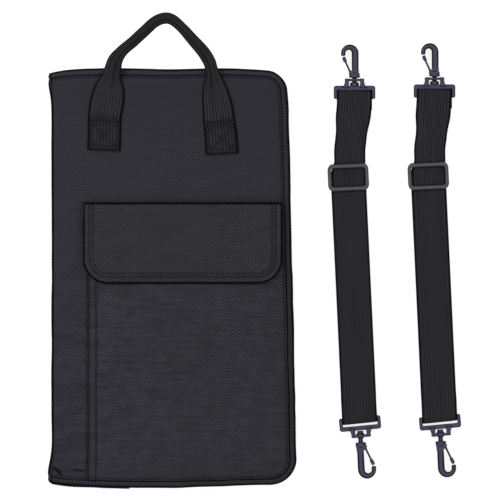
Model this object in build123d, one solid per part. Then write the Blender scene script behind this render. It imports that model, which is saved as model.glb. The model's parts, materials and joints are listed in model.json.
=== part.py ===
from build123d import *
import os
from math import atan, degrees

# Drum stick bag, closed and lying on its back, with its two carrying straps laid flat beside it.
# Millimetres. Origin: centre of the back face, on the floor. +Y is the bag's top, +Z its front.
# The bag is two shallow halves that fold open about a spine panel along the left edge.

os.makedirs("parts", exist_ok=True)

# ---- bag body ----
BAG_HEIGHT = 480.0  # along Y, bottom seam to top seam
SPINE_X = -138.0  # plain folded edge
RIGHT_TOP_X = 132.5  # the right side leans out towards the bottom
RIGHT_BOTTOM_X = 143.5
TOP_CORNER = 22.0
BOTTOM_CORNER = 32.0
DEPTH = 34.0  # closed, without the outside pocket
CLOTH = 0.8
FOAM = 4.0
LINING = 0.6
WALL = CLOTH + FOAM + LINING
SPINE_FOAM = 3.0
SPINE_WALL = CLOTH + SPINE_FOAM + LINING
GUSSET = 2.4
EDGE = 0.5  # the gusset's widest line inside the plan's outline
LEAN = 8.0  # the front and back faces inside the plan's outline
SEAM_GAP = 0.6
BINDING_WIDTH = 2.4
END_ZONE = 42.0  # unpadded band at each end of the back face, where the rings lie
FOLD_GAP = 0.3

# ---- zipper ----
ZIP_HALF_GAP = 0.1
TAPE_WIDTH = 3.9
TAPE_INSET = 7.0
TAPE = 1.0
COIL = 1.4
SEAM_LIP = 1.2
SLIDER_LENGTH = 12.0
PULL_LENGTH = 26.0
UPPER_SLIDER_Y = 46.0
LOWER_SLIDER_Y = 16.0
COVER_LENGTH = 85.0

# ---- outside pocket and flap ----
POCKET_LEFT_X = -96.5
POCKET_TOP_Y = 72.0
POCKET_ROOM = 4.8
POCKET_CLOTH = 1.2
FLAP_LEFT_X, FLAP_RIGHT_X = -101.0, 125.5
FLAP_TOP_Y, FLAP_BOTTOM_Y = 86.0, -6.0
FLAP_CORNER = 28.0
FLAP = 2.0
STRIP = 0.9
STRIP_GAP = 0.3
STRIP_SIZE = (150.0, 25.0)
STRIP_Y = 32.0

# ---- inside pockets ----
SLEEVE_COUNT = 3
SLEEVE_ROOM = 7.0
SLEEVE_LEFT_X, SLEEVE_RIGHT_X = -118.0, 108.0
SLEEVE_BOTTOM_Y, SLEEVE_TOP_Y = -214.0, 118.0
INNER_CLOTH = 1.0
ACCESSORY_ROOM = 5.6
ACCESSORY_LEFT_X, ACCESSORY_RIGHT_X = -112.0, 104.0
ACCESSORY_BOTTOM_Y, ACCESSORY_TOP_Y = -208.0, 10.0
BINDING = 9.0

# ---- front handle ----
WEBBING = 1.6
HANDLE_WIDTH = 38.0
HANDLE_LEFT_X, HANDLE_RIGHT_X = -77.0, 57.0
HANDLE_LEFT_Y, HANDLE_RIGHT_Y = 145.0, 140.0
HANDLE_FREE_Y = 183.0
GRIP_WIDTH = 17.0
GRIP = 5.2
GRIP_LINE = [(-67, 236), (-58, 257), (-36, 280), (-10, 294.5), (12, 284), (33, 262), (44, 236)]

# ---- back rings ----
RING_X = (-78.0, 74.0)
RING_Y = 221.0
RING_BAR = 1.0
RING_OUTER, RING_INNER = 18.0, 15.0
RING_THICK = 2.4
RING_Z = 2.05
TAB_WIDTH = 25.0
FIT = 0.1

# ---- carrying straps ----
STRAP_WIDTH = 40.0
STRAP_X, STRAP_Y = 208.5, 203.0  # bar of the upper hook base
STRAP_PITCH = (91.5, 1.5)  # from the first strap to the second
ADJUSTER_X, ADJUSTER_Y = 201.3, 115.0
RUN_TURN = 2.7  # degrees that the lower run leans from +Y
RUN_LENGTH = 280.4  # adjuster to the bar of the lower hook base
AXIS_Z = 4.6  # middle of the plastic parts above the floor
BAND = 1.3
BAR = 1.6
BASE_HALF = 3.6
HOOK_HALF = 3.5
MAIN_Z = AXIS_Z + BAR
RETURN_Z = AXIS_Z - BAR - BAND

FACE_Z = DEPTH
ZIP_Z = DEPTH / 2
INNER_X = SPINE_X + SPINE_WALL + FOLD_GAP
CORE = LEAN + GUSSET + SEAM_GAP  # inset of the layers inside the gusset
SIDE_LEAN = degrees(atan((RIGHT_BOTTOM_X - RIGHT_TOP_X) / BAG_HEIGHT))


def save(shape, name):
    export_step(shape, f"parts/{name}.step")


def box(x, y, z):
    """A block between the given (low, high) pairs."""
    size = [b - a for a, b in (x, y, z)]
    middle = [(a + b) / 2 for a, b in (x, y, z)]
    return Pos(*middle) * Box(*size)


def plan(inset):
    """The bag's widest outline set inwards, running on past the spine to the left."""
    far, half = SPINE_X - 80, BAG_HEIGHT / 2
    corners = [(far, -half), (RIGHT_BOTTOM_X, -half), (RIGHT_TOP_X, half), (far, half)]
    face = make_face(Polyline(*corners, close=True))
    face = fillet(face.vertices().sort_by(Axis.X)[-1], BOTTOM_CORNER)
    face = fillet(face.vertices().group_by(Axis.Y)[-1].sort_by(Axis.X)[-1], TOP_CORNER)
    return offset(face, amount=-inset) if inset else face


def right_of(shape, x):
    """The part of a shape to the right of a plane."""
    return shape - box((x - 200, x), (-400, 400), (-50, 150))


def sheet(inset, z, thick, left=INNER_X):
    """A flat layer with the bag's outline."""
    return right_of(Pos(0, 0, z) * extrude(plan(inset), thick), left)


def ring(outer, inner, z, thick, left=INNER_X):
    """A strip that follows the top, right and bottom edges."""
    layer = extrude(plan(outer), thick) - extrude(plan(inner), thick)
    return right_of(Pos(0, 0, z) * layer, left)


def leaning_wall(height):
    """A gusset wall that leans inwards as it rises from the widest line."""
    slope = degrees(atan((LEAN - EDGE) / height))
    outer = extrude(plan(EDGE), height, taper=slope)
    inner = extrude(plan(EDGE + GUSSET), height, taper=slope)
    return right_of(outer - inner, INNER_X)


def front_side(shape):
    """A back-half piece turned into the matching front-half piece."""
    return mirror(shape, about=Plane.XY.offset(ZIP_Z))


def half_gusset():
    """Side wall of one half, from the face seam out to the zipper, with its turned-in lip."""
    lip_z = ZIP_Z - ZIP_HALF_GAP - TAPE_WIDTH - SEAM_LIP
    wall = Pos(0, 0, lip_z) * mirror(leaning_wall(lip_z - CLOTH), about=Plane.XY)
    return wall + ring(EDGE, TAPE_INSET + TAPE, lip_z, SEAM_LIP)


def half_binding():
    return ring(LEAN - BINDING_WIDTH, LEAN, 0, CLOTH)


def half_tape():
    top = ZIP_Z - ZIP_HALF_GAP
    return ring(TAPE_INSET, TAPE_INSET + TAPE, top - TAPE_WIDTH, TAPE_WIDTH)


def half_coil():
    top = ZIP_Z - ZIP_HALF_GAP
    return ring(TAPE_INSET - COIL, TAPE_INSET, top - COIL, COIL)


def band(half):
    """Everything within a distance of the bag's middle, along Y."""
    return box((-300, 300), (-half, half), (-10, 60))


def back_panel():
    """Outer cloth: flat over the padded middle, stepped up in the band at each end."""
    step_y = BAG_HEIGHT / 2 - END_ZONE
    middle = band(step_y)
    panel = (sheet(LEAN, 0, CLOTH) & middle) + (sheet(LEAN + SEAM_GAP, FOAM, CLOTH) - middle)
    return panel + (sheet(CORE, 0, CLOTH + FOAM) & (middle - band(step_y - CLOTH)))


def back_foam():
    return sheet(CORE, CLOTH, FOAM) & band(BAG_HEIGHT / 2 - END_ZONE - CLOTH)


def half_lining():
    return sheet(CORE, CLOTH + FOAM, LINING)


def spine_layer(start, thick):
    """One layer of the spine panel; start is measured inwards from the folded edge."""
    half = BAG_HEIGHT / 2 - 1.0
    x = (SPINE_X + start, SPINE_X + start + thick)
    return box(x, (-half, half), (FOLD_GAP, DEPTH - FOLD_GAP))


def zipper_end_cover():
    """Cloth cover over the bottom end of the zipper, on the front half."""
    wall_y = EDGE - BAG_HEIGHT / 2
    z = (ZIP_Z + FOLD_GAP, ZIP_Z + ZIP_HALF_GAP + TAPE_WIDTH + SEAM_LIP)
    return box((INNER_X, INNER_X + COVER_LENGTH), (wall_y - CLOTH, wall_y), z)


def stick_sleeves():
    """One sheet sewn down in lines, which leaves flat sleeves that are open at the top."""
    floor = WALL
    x, y = (SLEEVE_LEFT_X, SLEEVE_RIGHT_X), (SLEEVE_BOTTOM_Y, SLEEVE_TOP_Y)
    top = floor + SLEEVE_ROOM
    sleeves = box(x, y, (top, top + INNER_CLOTH))
    pitch = (x[1] - x[0] - INNER_CLOTH) / SLEEVE_COUNT
    for i in range(SLEEVE_COUNT + 1):
        left = x[0] + i * pitch
        sleeves += box((left, left + INNER_CLOTH), y, (floor, top))
    return sleeves + box(x, (y[0], y[0] + INNER_CLOTH), (floor, top))


def sleeve_binding():
    top = WALL + SLEEVE_ROOM + INNER_CLOTH
    return box((SLEEVE_LEFT_X, SLEEVE_RIGHT_X), (SLEEVE_TOP_Y - BINDING, SLEEVE_TOP_Y), (top, top + LINING))


def open_tray(x, y, z, wall):
    """A pocket: a sheet with walls at the left, right and bottom, open at the top edge."""
    outer = box(x, y, z)
    return outer - box((x[0] + wall, x[1] - wall), (y[0] + wall, y[1] + 1), (z[0] - 1, z[1] - wall))


def accessory_pocket():
    """Pocket inside the front half, hanging below its lining."""
    ceiling = DEPTH - WALL
    x, y = (ACCESSORY_LEFT_X, ACCESSORY_RIGHT_X), (ACCESSORY_BOTTOM_Y, ACCESSORY_TOP_Y)
    tray = open_tray(x, y, (0, ACCESSORY_ROOM + INNER_CLOTH), INNER_CLOTH)
    return Pos(0, 0, ceiling) * mirror(tray, about=Plane.XY)


def pocket_panel():
    """Outside pocket: sewn along the left hem, the right seam and the bottom seam."""
    top_z = POCKET_ROOM + POCKET_CLOTH
    edge = LEAN + SEAM_GAP
    outer = right_of(extrude(plan(edge), top_z), POCKET_LEFT_X)
    room = extrude(plan(edge + POCKET_CLOTH), POCKET_ROOM)
    room = right_of(room, POCKET_LEFT_X + POCKET_CLOTH)
    above = box((-300, 300), (POCKET_TOP_Y, 400), (-1, 20))
    return Pos(0, 0, FACE_Z) * (outer - room - above)


def strip(z):
    """One half of the hook-and-loop closure."""
    return Pos(12, STRIP_Y, z + STRIP / 2) * Box(*STRIP_SIZE, STRIP)


LOOP_Z = FACE_Z + POCKET_ROOM + POCKET_CLOTH
HOOK_STRIP_Z = LOOP_Z + STRIP + STRIP_GAP
FLAP_Z = HOOK_STRIP_Z + STRIP


def pocket_flap():
    width, height = FLAP_RIGHT_X - FLAP_LEFT_X, FLAP_TOP_Y - FLAP_BOTTOM_Y
    face = Rectangle(width, height)
    face = fillet(face.vertices().group_by(Axis.Y)[0], FLAP_CORNER)
    middle = ((FLAP_LEFT_X + FLAP_RIGHT_X) / 2, (FLAP_TOP_Y + FLAP_BOTTOM_Y) / 2)
    return Pos(*middle, FLAP_Z) * extrude(face, FLAP)


def flap_root():
    """The sewn-down edge that carries the flap over the pocket's mouth."""
    x = (FLAP_LEFT_X, FLAP_RIGHT_X)
    return box(x, (FLAP_TOP_Y - 5, FLAP_TOP_Y), (FACE_Z, FLAP_Z - FOLD_GAP))


def handle_ends():
    """The two stitched-down ends of the handle webbing."""
    ends = Part()
    for x, y in ((HANDLE_LEFT_X, HANDLE_LEFT_Y), (HANDLE_RIGHT_X, HANDLE_RIGHT_Y)):
        half = HANDLE_WIDTH / 2
        ends += box((x - half, x + half), (y, HANDLE_FREE_Y), (FACE_Z, FACE_Z + WEBBING))
    return ends


def grip_face():
    """Plan of the folded grip: a band of even width along the grip line."""
    line = Spline(*GRIP_LINE)
    steps = 24
    sides = ([], [])
    for i in range(steps + 1):
        p, t = line @ (i / steps), line % (i / steps)
        n = Vector(-t.Y, t.X) * (GRIP_WIDTH / 2)
        sides[0].append(p + n)
        sides[1].append(p - n)
    outer, inner = Spline(*sides[0]), Spline(*sides[1])
    return make_face([outer, Line(outer @ 1, inner @ 1), inner, Line(inner @ 0, outer @ 0)])


def handle():
    """Free part of the handle: two flat legs that gather into a folded grip."""
    low = FACE_Z + FOLD_GAP
    half, start, meet = HANDLE_WIDTH / 2, HANDLE_FREE_Y + 1.0, 240.0
    left = [(HANDLE_LEFT_X - half, start), (HANDLE_LEFT_X + half, start), (-58, meet), (-76, meet)]
    right = [(HANDLE_RIGHT_X - half, start), (HANDLE_RIGHT_X + half, start), (52.5, meet), (35.5, meet)]
    legs = make_face(Polyline(*left, close=True)) + make_face(Polyline(*right, close=True))
    return Pos(0, 0, low) * (extrude(legs, WEBBING) + extrude(grip_face(), GRIP))


def slider_frame(y):
    """Frame on the right side of the zipper: x outwards, y along the edge."""
    share = 0.5 - y / BAG_HEIGHT
    return Pos(RIGHT_TOP_X + share * (RIGHT_BOTTOM_X - RIGHT_TOP_X), y, ZIP_Z) * Rot(0, 0, SIDE_LEAN)


PIN_X, PIN_Y = -2.6, 2.5


def slider(way):
    """Zipper slider on the back half's coil; way is 1 or -1, the end that its pull lies towards."""
    half = SLIDER_LENGTH / 2
    body = box((-5.3, -4.0), (-half, half), (-2.9, 2.9))
    body += box((-6.7, -5.3), (-half, half), (-2.9, -1.7))
    for side in (-1, 1):
        z = sorted((side * 1.4, side * 2.4))
        body += box((-4.0, -1.6), (PIN_Y - 1.4, PIN_Y + 1.4), z)
    body += Pos(PIN_X, PIN_Y, 0) * Cylinder(0.6, 3.0)
    return body if way < 0 else mirror(body, about=Plane.XZ)


def pull(way):
    """Pull tab hanging on the slider's pin."""
    eye = Pos(PIN_X, PIN_Y, 0) * Cylinder(1.2, 2.4)
    tab = box((PIN_X - 0.8, PIN_X + 0.8), (PIN_Y - 8, PIN_Y), (-1.2, 1.2))
    tab += box((PIN_X - 0.8, PIN_X + 0.8), (PIN_Y - PULL_LENGTH, PIN_Y - 8), (-3.2, 3.2))
    tab = eye + tab - Pos(PIN_X, PIN_Y, 0) * Cylinder(0.6 + FIT, 4)
    return tab if way < 0 else mirror(tab, about=Plane.XZ)


def ring_places():
    """Name, place and inward direction of each back ring."""
    for end, side in (("top", 1), ("bottom", -1)):
        for hand, x in zip(("left", "right"), RING_X):
            yield f"{end}_{hand}", x, side


def back_ring(x, side):
    """D-ring, its straight bar along X and its bow towards the middle of the bag."""
    bow = Circle(RING_OUTER) - Circle(RING_INNER)
    bow -= Pos(0, side * RING_OUTER) * Rectangle(3 * RING_OUTER, 2 * RING_OUTER)
    bow = extrude(bow, RING_THICK / 2, both=True)
    bar = Rot(0, 90, 0) * Cylinder(RING_BAR, 2 * RING_INNER + 2)
    return Pos(x, side * RING_Y, RING_Z) * (bow + bar)


def ring_tabs():
    """Folded webbing tabs sewn to the back's end bands, one round each ring's bar."""
    tabs = Part()
    for _, x, side in ring_places():
        curl = Rot(0, 90, 0) * (Cylinder(1.9, TAB_WIDTH) - Cylinder(RING_BAR + FIT, TAB_WIDTH))
        tail_y = sorted((side * 1.5, side * 9.5))
        tail = box((-TAB_WIDTH / 2, TAB_WIDTH / 2), tail_y, (0.3, FOAM - RING_Z))
        tabs += Pos(x, side * RING_Y, RING_Z) * (curl + tail)
    return tabs


def hook_base():
    """Buckle of a strap hook. Origin: middle of the webbing bar; +Y towards the hook."""
    outline = [(-23.5, -2.5), (23.5, -2.5), (23.5, 11), (11, 18.5), (11, 22), (-11, 22), (-11, 18.5), (-23.5, 11)]
    body = extrude(make_face(Polyline(*outline, close=True)), BASE_HALF, both=True)
    body += box((-11, 11), (15, 22), (-4.4, 4.4))
    body -= box((-20.6, 20.6), (-3, 7.2), (-5, 5))
    body += Rot(0, 90, 0) * Cylinder(BAR, 41.4)
    return body - Pos(0, 14.6, 0) * Rot(90, 0, 0) * Cylinder(2.6 + FIT, 15)


HOOK_START = 22.3
PIVOT = (-4.5, 8.0)


def swivel_hook():
    """Hook that turns in its base. Origin: on the turning axis at the base's end; gate on -X."""
    post = Pos(0, -8, 0) * Rot(90, 0, 0) * Cylinder(2.6, 20)
    head = Pos(0, -16.9, 0) * Rot(90, 0, 0) * Cylinder(3.4, 3.0)
    collar = Pos(0, 2.65, 0) * Rot(90, 0, 0) * Cylinder(4.4, 4.7)
    crook = Pos(-5.2, 30.5) * (Circle(10.2) - Circle(3.4) - Pos(0, -10) * Rectangle(30, 20))
    crook += Pos(1.6, 17.8) * Rectangle(6.8, 25.6)
    crook += Pos(-1.25, 8) * Rectangle(12.5, 6)
    tip = [(-15.4, 30.6), (-8.6, 30.6), (-9.4, 24.5), (-13.6, 24.5)]
    crook += make_face(Polyline(*tip, close=True))
    body = extrude(crook, HOOK_HALF, both=True)
    body -= box((-8, -1.8), (5.2, 12), (-2.0, 2.0))
    body += Pos(*PIVOT, 0) * Cylinder(1.0, 2 * HOOK_HALF - 0.2)
    return post + head + collar + body


def hook_gate():
    """Sprung gate that closes the hook's mouth, in the hook's own frame."""
    length = 17.0
    arm = Pos(0, length / 2 + 0.8) * Rectangle(2.4, length - 1.6) + Circle(1.9)
    gate = extrude(arm, 1.7, both=True) - Cylinder(1.0 + FIT, 6)
    return Pos(*PIVOT, 0) * Rot(0, 0, 23.2) * gate


def adjuster():
    """Tri-glide. Origin: its middle at floor level."""
    face = chamfer(Rectangle(46.4, 30).vertices(), 6)
    frame = Pos(0, 0, AXIS_Z - BAR) * extrude(face, 10.4 - AXIS_Z + BAR)
    frame -= box((-20.8, 20.8), (-10, 10), (0, 20))
    frame -= box((-20.8, 20.8), (-16, 16), (0, MAIN_Z + BAND + 0.4))
    return frame + box((-21, 21), (-4, 4), (AXIS_Z - BAR, AXIS_Z))


def adjuster_loop():
    """Sewn end of the webbing, wrapped round the adjuster's middle bar."""
    x = (-STRAP_WIDTH / 2, STRAP_WIDTH / 2)
    outer = box(x, (-5.3, 5.3), (RETURN_Z, AXIS_Z + BAND))
    return outer - box((-30, 30), (-4, 4), (AXIS_Z - BAR, AXIS_Z))


LOOP_TAIL = 8.0
KNEE = 16.0  # where the main run bends, just above the adjuster


def webbing_turn(tail):
    """Webbing round a base's bar. Origin: middle of the bar; +Y towards the hook."""
    half = STRAP_WIDTH / 2
    curl = Rot(0, 90, 0) * (Cylinder(BAR + BAND, STRAP_WIDTH) - Cylinder(BAR, STRAP_WIDTH))
    curl -= box((-half, half), (-9, 0), (-9, 9))
    over = box((-half, half), (-LOOP_TAIL, 0), (BAR, BAR + BAND))
    return curl + over + box((-half, half), (-tail, 0), (-BAR - BAND, -BAR))


def upper_frame():
    return Pos(STRAP_X, STRAP_Y, AXIS_Z)


def run_frame():
    return Pos(ADJUSTER_X, ADJUSTER_Y, 0) * Rot(0, 0, RUN_TURN)


def lower_frame():
    """Frame of the lower hook base, whose hook points down the run."""
    return run_frame() * Pos(0, -RUN_LENGTH, AXIS_Z) * Rot(0, 0, 180)


def webbing_run():
    """Main run: upper base, through the adjuster, down to the lower base."""
    half, end = STRAP_WIDTH / 2, LOOP_TAIL - RUN_LENGTH
    top_y = STRAP_Y - LOOP_TAIL
    knee_l, knee_r = [(run_frame() * Pos(x, KNEE)).position for x in (-half, half)]
    low_l, low_r = [(run_frame() * Pos(x, end)).position for x in (-half, half)]
    corners = [(STRAP_X - half, top_y), (knee_l.X, knee_l.Y), (low_l.X, low_l.Y)]
    corners += [(low_r.X, low_r.Y), (knee_r.X, knee_r.Y), (STRAP_X + half, top_y)]
    run = Pos(0, 0, MAIN_Z) * extrude(make_face(Polyline(*corners, close=True)), BAND)
    return run + upper_frame() * webbing_turn(14)


def return_run():
    """Webbing that goes back from the lower base to the adjuster, under the main run."""
    half = STRAP_WIDTH / 2
    y = (LOOP_TAIL - RUN_LENGTH, -5.3)
    return run_frame() * box((-half, half), y, (RETURN_Z, RETURN_Z + BAND))


def strap_nodes():
    """Every piece of one strap in its place, by name."""
    to_hook = Pos(0, HOOK_START, 0)
    yield "upper_base", upper_frame() * hook_base()
    yield "upper_hook", upper_frame() * to_hook * swivel_hook()
    yield "upper_gate", upper_frame() * to_hook * hook_gate()
    yield "webbing", webbing_run()
    yield "adjuster", run_frame() * adjuster()
    yield "adjuster_loop", run_frame() * adjuster_loop()
    yield "return_webbing", return_run()
    yield "lower_turn", lower_frame() * webbing_turn(LOOP_TAIL)
    yield "lower_base", lower_frame() * hook_base()
    yield "lower_hook", lower_frame() * to_hook * swivel_hook()
    yield "lower_gate", lower_frame() * to_hook * hook_gate()


def save_bag():
    foam = sheet(CORE, CLOTH, FOAM)
    halves = {
        "gusset": half_gusset(),
        "binding": half_binding(),
        "zipper_tape": half_tape(),
        "zipper_coil": half_coil(),
        "lining": half_lining(),
    }
    for name, shape in halves.items():
        save(shape, f"back_{name}")
        save(front_side(shape), f"front_{name}")
    save(back_panel(), "back_panel")
    save(back_foam(), "back_foam")
    save(front_side(sheet(LEAN, 0, CLOTH)), "front_panel")
    save(front_side(foam), "front_foam")
    save(spine_layer(0, CLOTH), "spine_panel")
    save(spine_layer(CLOTH, SPINE_FOAM), "spine_foam")
    save(spine_layer(CLOTH + SPINE_FOAM, LINING), "spine_lining")
    save(zipper_end_cover(), "zipper_end_cover")


def save_pockets_and_handle():
    save(stick_sleeves(), "stick_sleeves")
    save(sleeve_binding(), "sleeve_binding")
    save(accessory_pocket(), "accessory_pocket")
    save(pocket_panel(), "pocket_panel")
    save(strip(LOOP_Z), "pocket_loop_strip")
    save(strip(HOOK_STRIP_Z), "flap_hook_strip")
    save(pocket_flap(), "pocket_flap")
    save(flap_root(), "flap_root")
    save(handle_ends(), "handle_ends")
    save(handle(), "front_handle")


def save_hardware():
    for name, y, way in (("upper", UPPER_SLIDER_Y, 1), ("lower", LOWER_SLIDER_Y, -1)):
        save(slider_frame(y) * slider(way), f"{name}_slider")
        save(slider_frame(y) * pull(way), f"{name}_pull")
    for name, x, side in ring_places():
        save(back_ring(x, side), f"{name}_ring")
    save(ring_tabs(), "ring_tabs")


def save_straps():
    pieces = dict(strap_nodes())
    for i, hand in enumerate(("first", "second")):
        shift = Pos(i * STRAP_PITCH[0], i * STRAP_PITCH[1], 0)
        for name, shape in pieces.items():
            save(shift * shape, f"{hand}_strap_{name}")


save_bag()
save_pockets_and_handle()
save_hardware()
save_straps()
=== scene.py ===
"""Drum stick bag with two clip-on straps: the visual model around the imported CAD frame.

The bag lies on its back: X to the right, +Y to the handle, +Z out of the front.
Shapes are worked out in millimetres and scaled to metres when a mesh is made.
"""

import json
import math

import bmesh
import bpy
import numpy as np
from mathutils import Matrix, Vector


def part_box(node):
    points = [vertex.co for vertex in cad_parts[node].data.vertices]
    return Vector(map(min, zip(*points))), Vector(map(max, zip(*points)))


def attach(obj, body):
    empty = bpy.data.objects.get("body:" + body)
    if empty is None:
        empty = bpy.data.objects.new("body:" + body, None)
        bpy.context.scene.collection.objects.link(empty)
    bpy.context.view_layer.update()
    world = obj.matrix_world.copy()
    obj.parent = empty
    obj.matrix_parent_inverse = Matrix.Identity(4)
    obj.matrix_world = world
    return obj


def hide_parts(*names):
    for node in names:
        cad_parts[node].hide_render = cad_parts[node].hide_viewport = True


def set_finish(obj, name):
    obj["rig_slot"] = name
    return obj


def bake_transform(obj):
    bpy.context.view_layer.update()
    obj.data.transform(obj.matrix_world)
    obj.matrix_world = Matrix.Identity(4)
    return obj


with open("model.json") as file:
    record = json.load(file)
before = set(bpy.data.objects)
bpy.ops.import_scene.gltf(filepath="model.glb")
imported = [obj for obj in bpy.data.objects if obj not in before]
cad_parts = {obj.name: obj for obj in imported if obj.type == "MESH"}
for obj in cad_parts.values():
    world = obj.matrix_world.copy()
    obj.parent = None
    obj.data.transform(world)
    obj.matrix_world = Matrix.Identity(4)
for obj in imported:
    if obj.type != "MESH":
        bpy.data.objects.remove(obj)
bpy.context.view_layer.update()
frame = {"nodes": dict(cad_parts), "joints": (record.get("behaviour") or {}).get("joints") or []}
MM = 0.001


def box_mm(node):
    return [np.array(corner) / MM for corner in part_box(node)]


# ---------------------------------------------------------------- the bag's plan and section
SIDE_LEAN = 11 / 480  # the right side leans out towards the bottom
TOP_CORNER, BOTTOM_CORNER = 22, 32
SEAM = 8.0  # inset of the seam between a panel and its gusset
TOPSTITCH = 2.8  # from that seam to the line of topstitching
FOLD_RADIUS = 7.0
WALL = 4.1  # outer cloth and foam
FLARE = 6.6  # how far the fold's two ends stand out to the left

gusset_low, gusset_high = box_mm("front_gusset")
HALF_HEIGHT = gusset_high[1] + 0.5
SIDE_X = gusset_high[0] + 0.5 - SIDE_LEAN * (HALF_HEIGHT - BOTTOM_CORNER)
SPINE_X = box_mm("spine_panel")[0][0]
INNER_X = gusset_low[0]
FRONT_Z = box_mm("front_panel")[1][2]
MID_Z = FRONT_Z / 2
LEAN_ANGLE = math.atan(SIDE_LEAN)
SIDE_NORMAL = np.array([math.cos(LEAN_ANGLE), math.sin(LEAN_ANGLE)])


def corner_centre(radius, sign):
    y = sign * (HALF_HEIGHT - radius)
    x = SIDE_X - SIDE_LEAN * y - radius / SIDE_NORMAL[0]
    return np.array([x, y])


TOP_CENTRE = corner_centre(TOP_CORNER, 1)
BOTTOM_CENTRE = corner_centre(BOTTOM_CORNER, -1)
CORNER_WAY = np.array([0.72, 0.69])  # the worn top corner gives way in this direction


def inset_of(x, y):
    """How far a point of the plan lies inside the bag's outline, leaving out the fold on the left."""
    side = (SIDE_X - SIDE_LEAN * y - x) * SIDE_NORMAL[0]
    straight = np.minimum(np.minimum(HALF_HEIGHT - y, HALF_HEIGHT + y), side)
    for centre, radius, sign in ((TOP_CENTRE, TOP_CORNER, 1), (BOTTOM_CENTRE, BOTTOM_CORNER, -1)):
        beyond = (x > centre[0]) & (sign * (y - centre[1]) > SIDE_LEAN * sign * (x - centre[0]))
        straight = np.where(beyond, radius - np.hypot(x - centre[0], y - centre[1]), straight)
    return straight


def run_of(points):
    """The distance run along a line, at each of its points."""
    return np.concatenate([[0], np.cumsum(np.linalg.norm(np.diff(points, axis=0), axis=1))])


def unit(vectors):
    return vectors / np.linalg.norm(vectors, axis=-1, keepdims=True)


def outline(start_x, step):
    """Stations along top, right side and bottom: points, outward normals, distance run."""
    points, normals = [], []
    up, down = np.array([0.0, 1.0]), np.array([0.0, -1.0])

    def straight(a, b, normal):
        count = max(2, int(np.linalg.norm(b - a) / step))
        for t in np.linspace(0, 1, count, endpoint=False):
            points.append(a + t * (b - a))
            normals.append(normal)

    def arc(centre, radius, first, last):
        count = max(8, int(radius * abs(first - last) / (0.6 * step)))
        for angle in np.linspace(first, last, count, endpoint=False):
            normal = np.array([math.cos(angle), math.sin(angle)])
            points.append(centre + radius * normal)
            normals.append(normal)

    top = TOP_CENTRE + TOP_CORNER * up
    side_top = TOP_CENTRE + TOP_CORNER * SIDE_NORMAL
    side_bottom = BOTTOM_CENTRE + BOTTOM_CORNER * SIDE_NORMAL
    bottom = BOTTOM_CENTRE + BOTTOM_CORNER * down
    straight(np.array([start_x, top[1]]), top, up)
    arc(TOP_CENTRE, TOP_CORNER, math.pi / 2, LEAN_ANGLE)
    straight(side_top, side_bottom, SIDE_NORMAL)
    arc(BOTTOM_CENTRE, BOTTOM_CORNER, LEAN_ANGLE, -math.pi / 2)
    straight(bottom, np.array([start_x, bottom[1]]), down)
    points.append(np.array([start_x, bottom[1]]))
    normals.append(down)
    points = np.array(points)
    return points, np.array(normals), run_of(points)


def side_x(y, inset):
    """The plan's right edge at a height y, at some inset."""
    points, normals, _ = outline(0, 1.0)
    line = points - inset * normals
    keep = (line[:, 0] > TOP_CENTRE[0] - 0.01) & (normals[:, 1] < 1) & (normals[:, 1] > -1)
    line = line[keep]
    order = np.argsort(line[:, 1])
    return np.interp(y, line[order, 1], line[order, 0])


def smooth(t):
    t = np.clip(t, 0, 1)
    return t * t * (3 - 2 * t)


def noise(x, y, cell, seed):
    """Seeded smooth noise from -1 to 1, about one hump to a cell of cell[0] by cell[1]."""
    table = np.random.RandomState(seed).uniform(-1, 1, (61, 67))
    gx, gy = np.asarray(x) / cell[0] + 500, np.asarray(y) / cell[1] + 500
    ix, iy = np.floor(gx).astype(int), np.floor(gy).astype(int)
    fx, fy = smooth(gx - ix), smooth(gy - iy)

    def pick(i, j):
        return table[i % 61, j % 67]

    low = pick(ix, iy) * (1 - fx) + pick(ix + 1, iy) * fx
    high = pick(ix, iy + 1) * (1 - fx) + pick(ix + 1, iy + 1) * fx
    return low * (1 - fy) + high * fy


def groove(distance, width):
    """A stitched groove's depth, 1 on the line and 0 beyond its width."""
    return np.exp(-((distance / width) ** 2))


def graded(start, end, fine, coarse, zone, fine_start=True):
    """Steps from start to end, fine near the ends and coarse between, as shares from 0 to 1."""
    length = end - start
    values, at = [0.0], 0.0
    while at < length:
        near = min(at if fine_start else length, length - at)
        share = smooth(np.array((near - zone) / (3 * zone)))
        at += fine + (coarse - fine) * float(share)
        values.append(at)
    values = np.array(values)
    return values / values[-1]


# ---------------------------------------------------------------- meshes
def bag_lie(points):
    """How the bag lies: the fold's ends are drawn in and flare to the left, and the edges bow and wander."""
    x, y = points[:, 0], points[:, 1]
    from_left = np.maximum(x - SPINE_X, 2)
    top = 7.6 * np.exp(-from_left / 15.5) + 1.1 * np.exp(-(((x + 5) / 34) ** 2)) + 1.3 * smooth((x - 55) / 50)
    bottom = 7.4 * np.exp(-from_left / 23) + 3.6 * smooth((x - 5) / 110) + 0.5 * noise(x, 0, (31, 50), 57)
    near = np.exp(-np.maximum(HALF_HEIGHT - np.abs(y), 0) / 42)
    moved = points.copy()
    moved[:, 1] += np.where(y > 0, -top, bottom) * near
    ends = np.exp(-(((HALF_HEIGHT - np.abs(y)) / 26) ** 2))
    moved[:, 0] -= FLARE * ends * np.exp(-np.maximum(x - SPINE_X, 0) / 24)
    corner = TOP_CENTRE + TOP_CORNER * CORNER_WAY
    soft = 3.4 * np.exp(-((np.hypot(x - corner[0], y - corner[1]) / 21) ** 2))
    moved[:, :2] -= soft[:, None] * CORNER_WAY
    right = np.exp(-np.maximum(SIDE_X - x, 0) / 30)
    moved[:, 0] += right * (0.6 * noise(y, 0, (47, 50), 58) + 0.3 * noise(y, 0, (15, 50), 59))
    return moved


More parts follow.
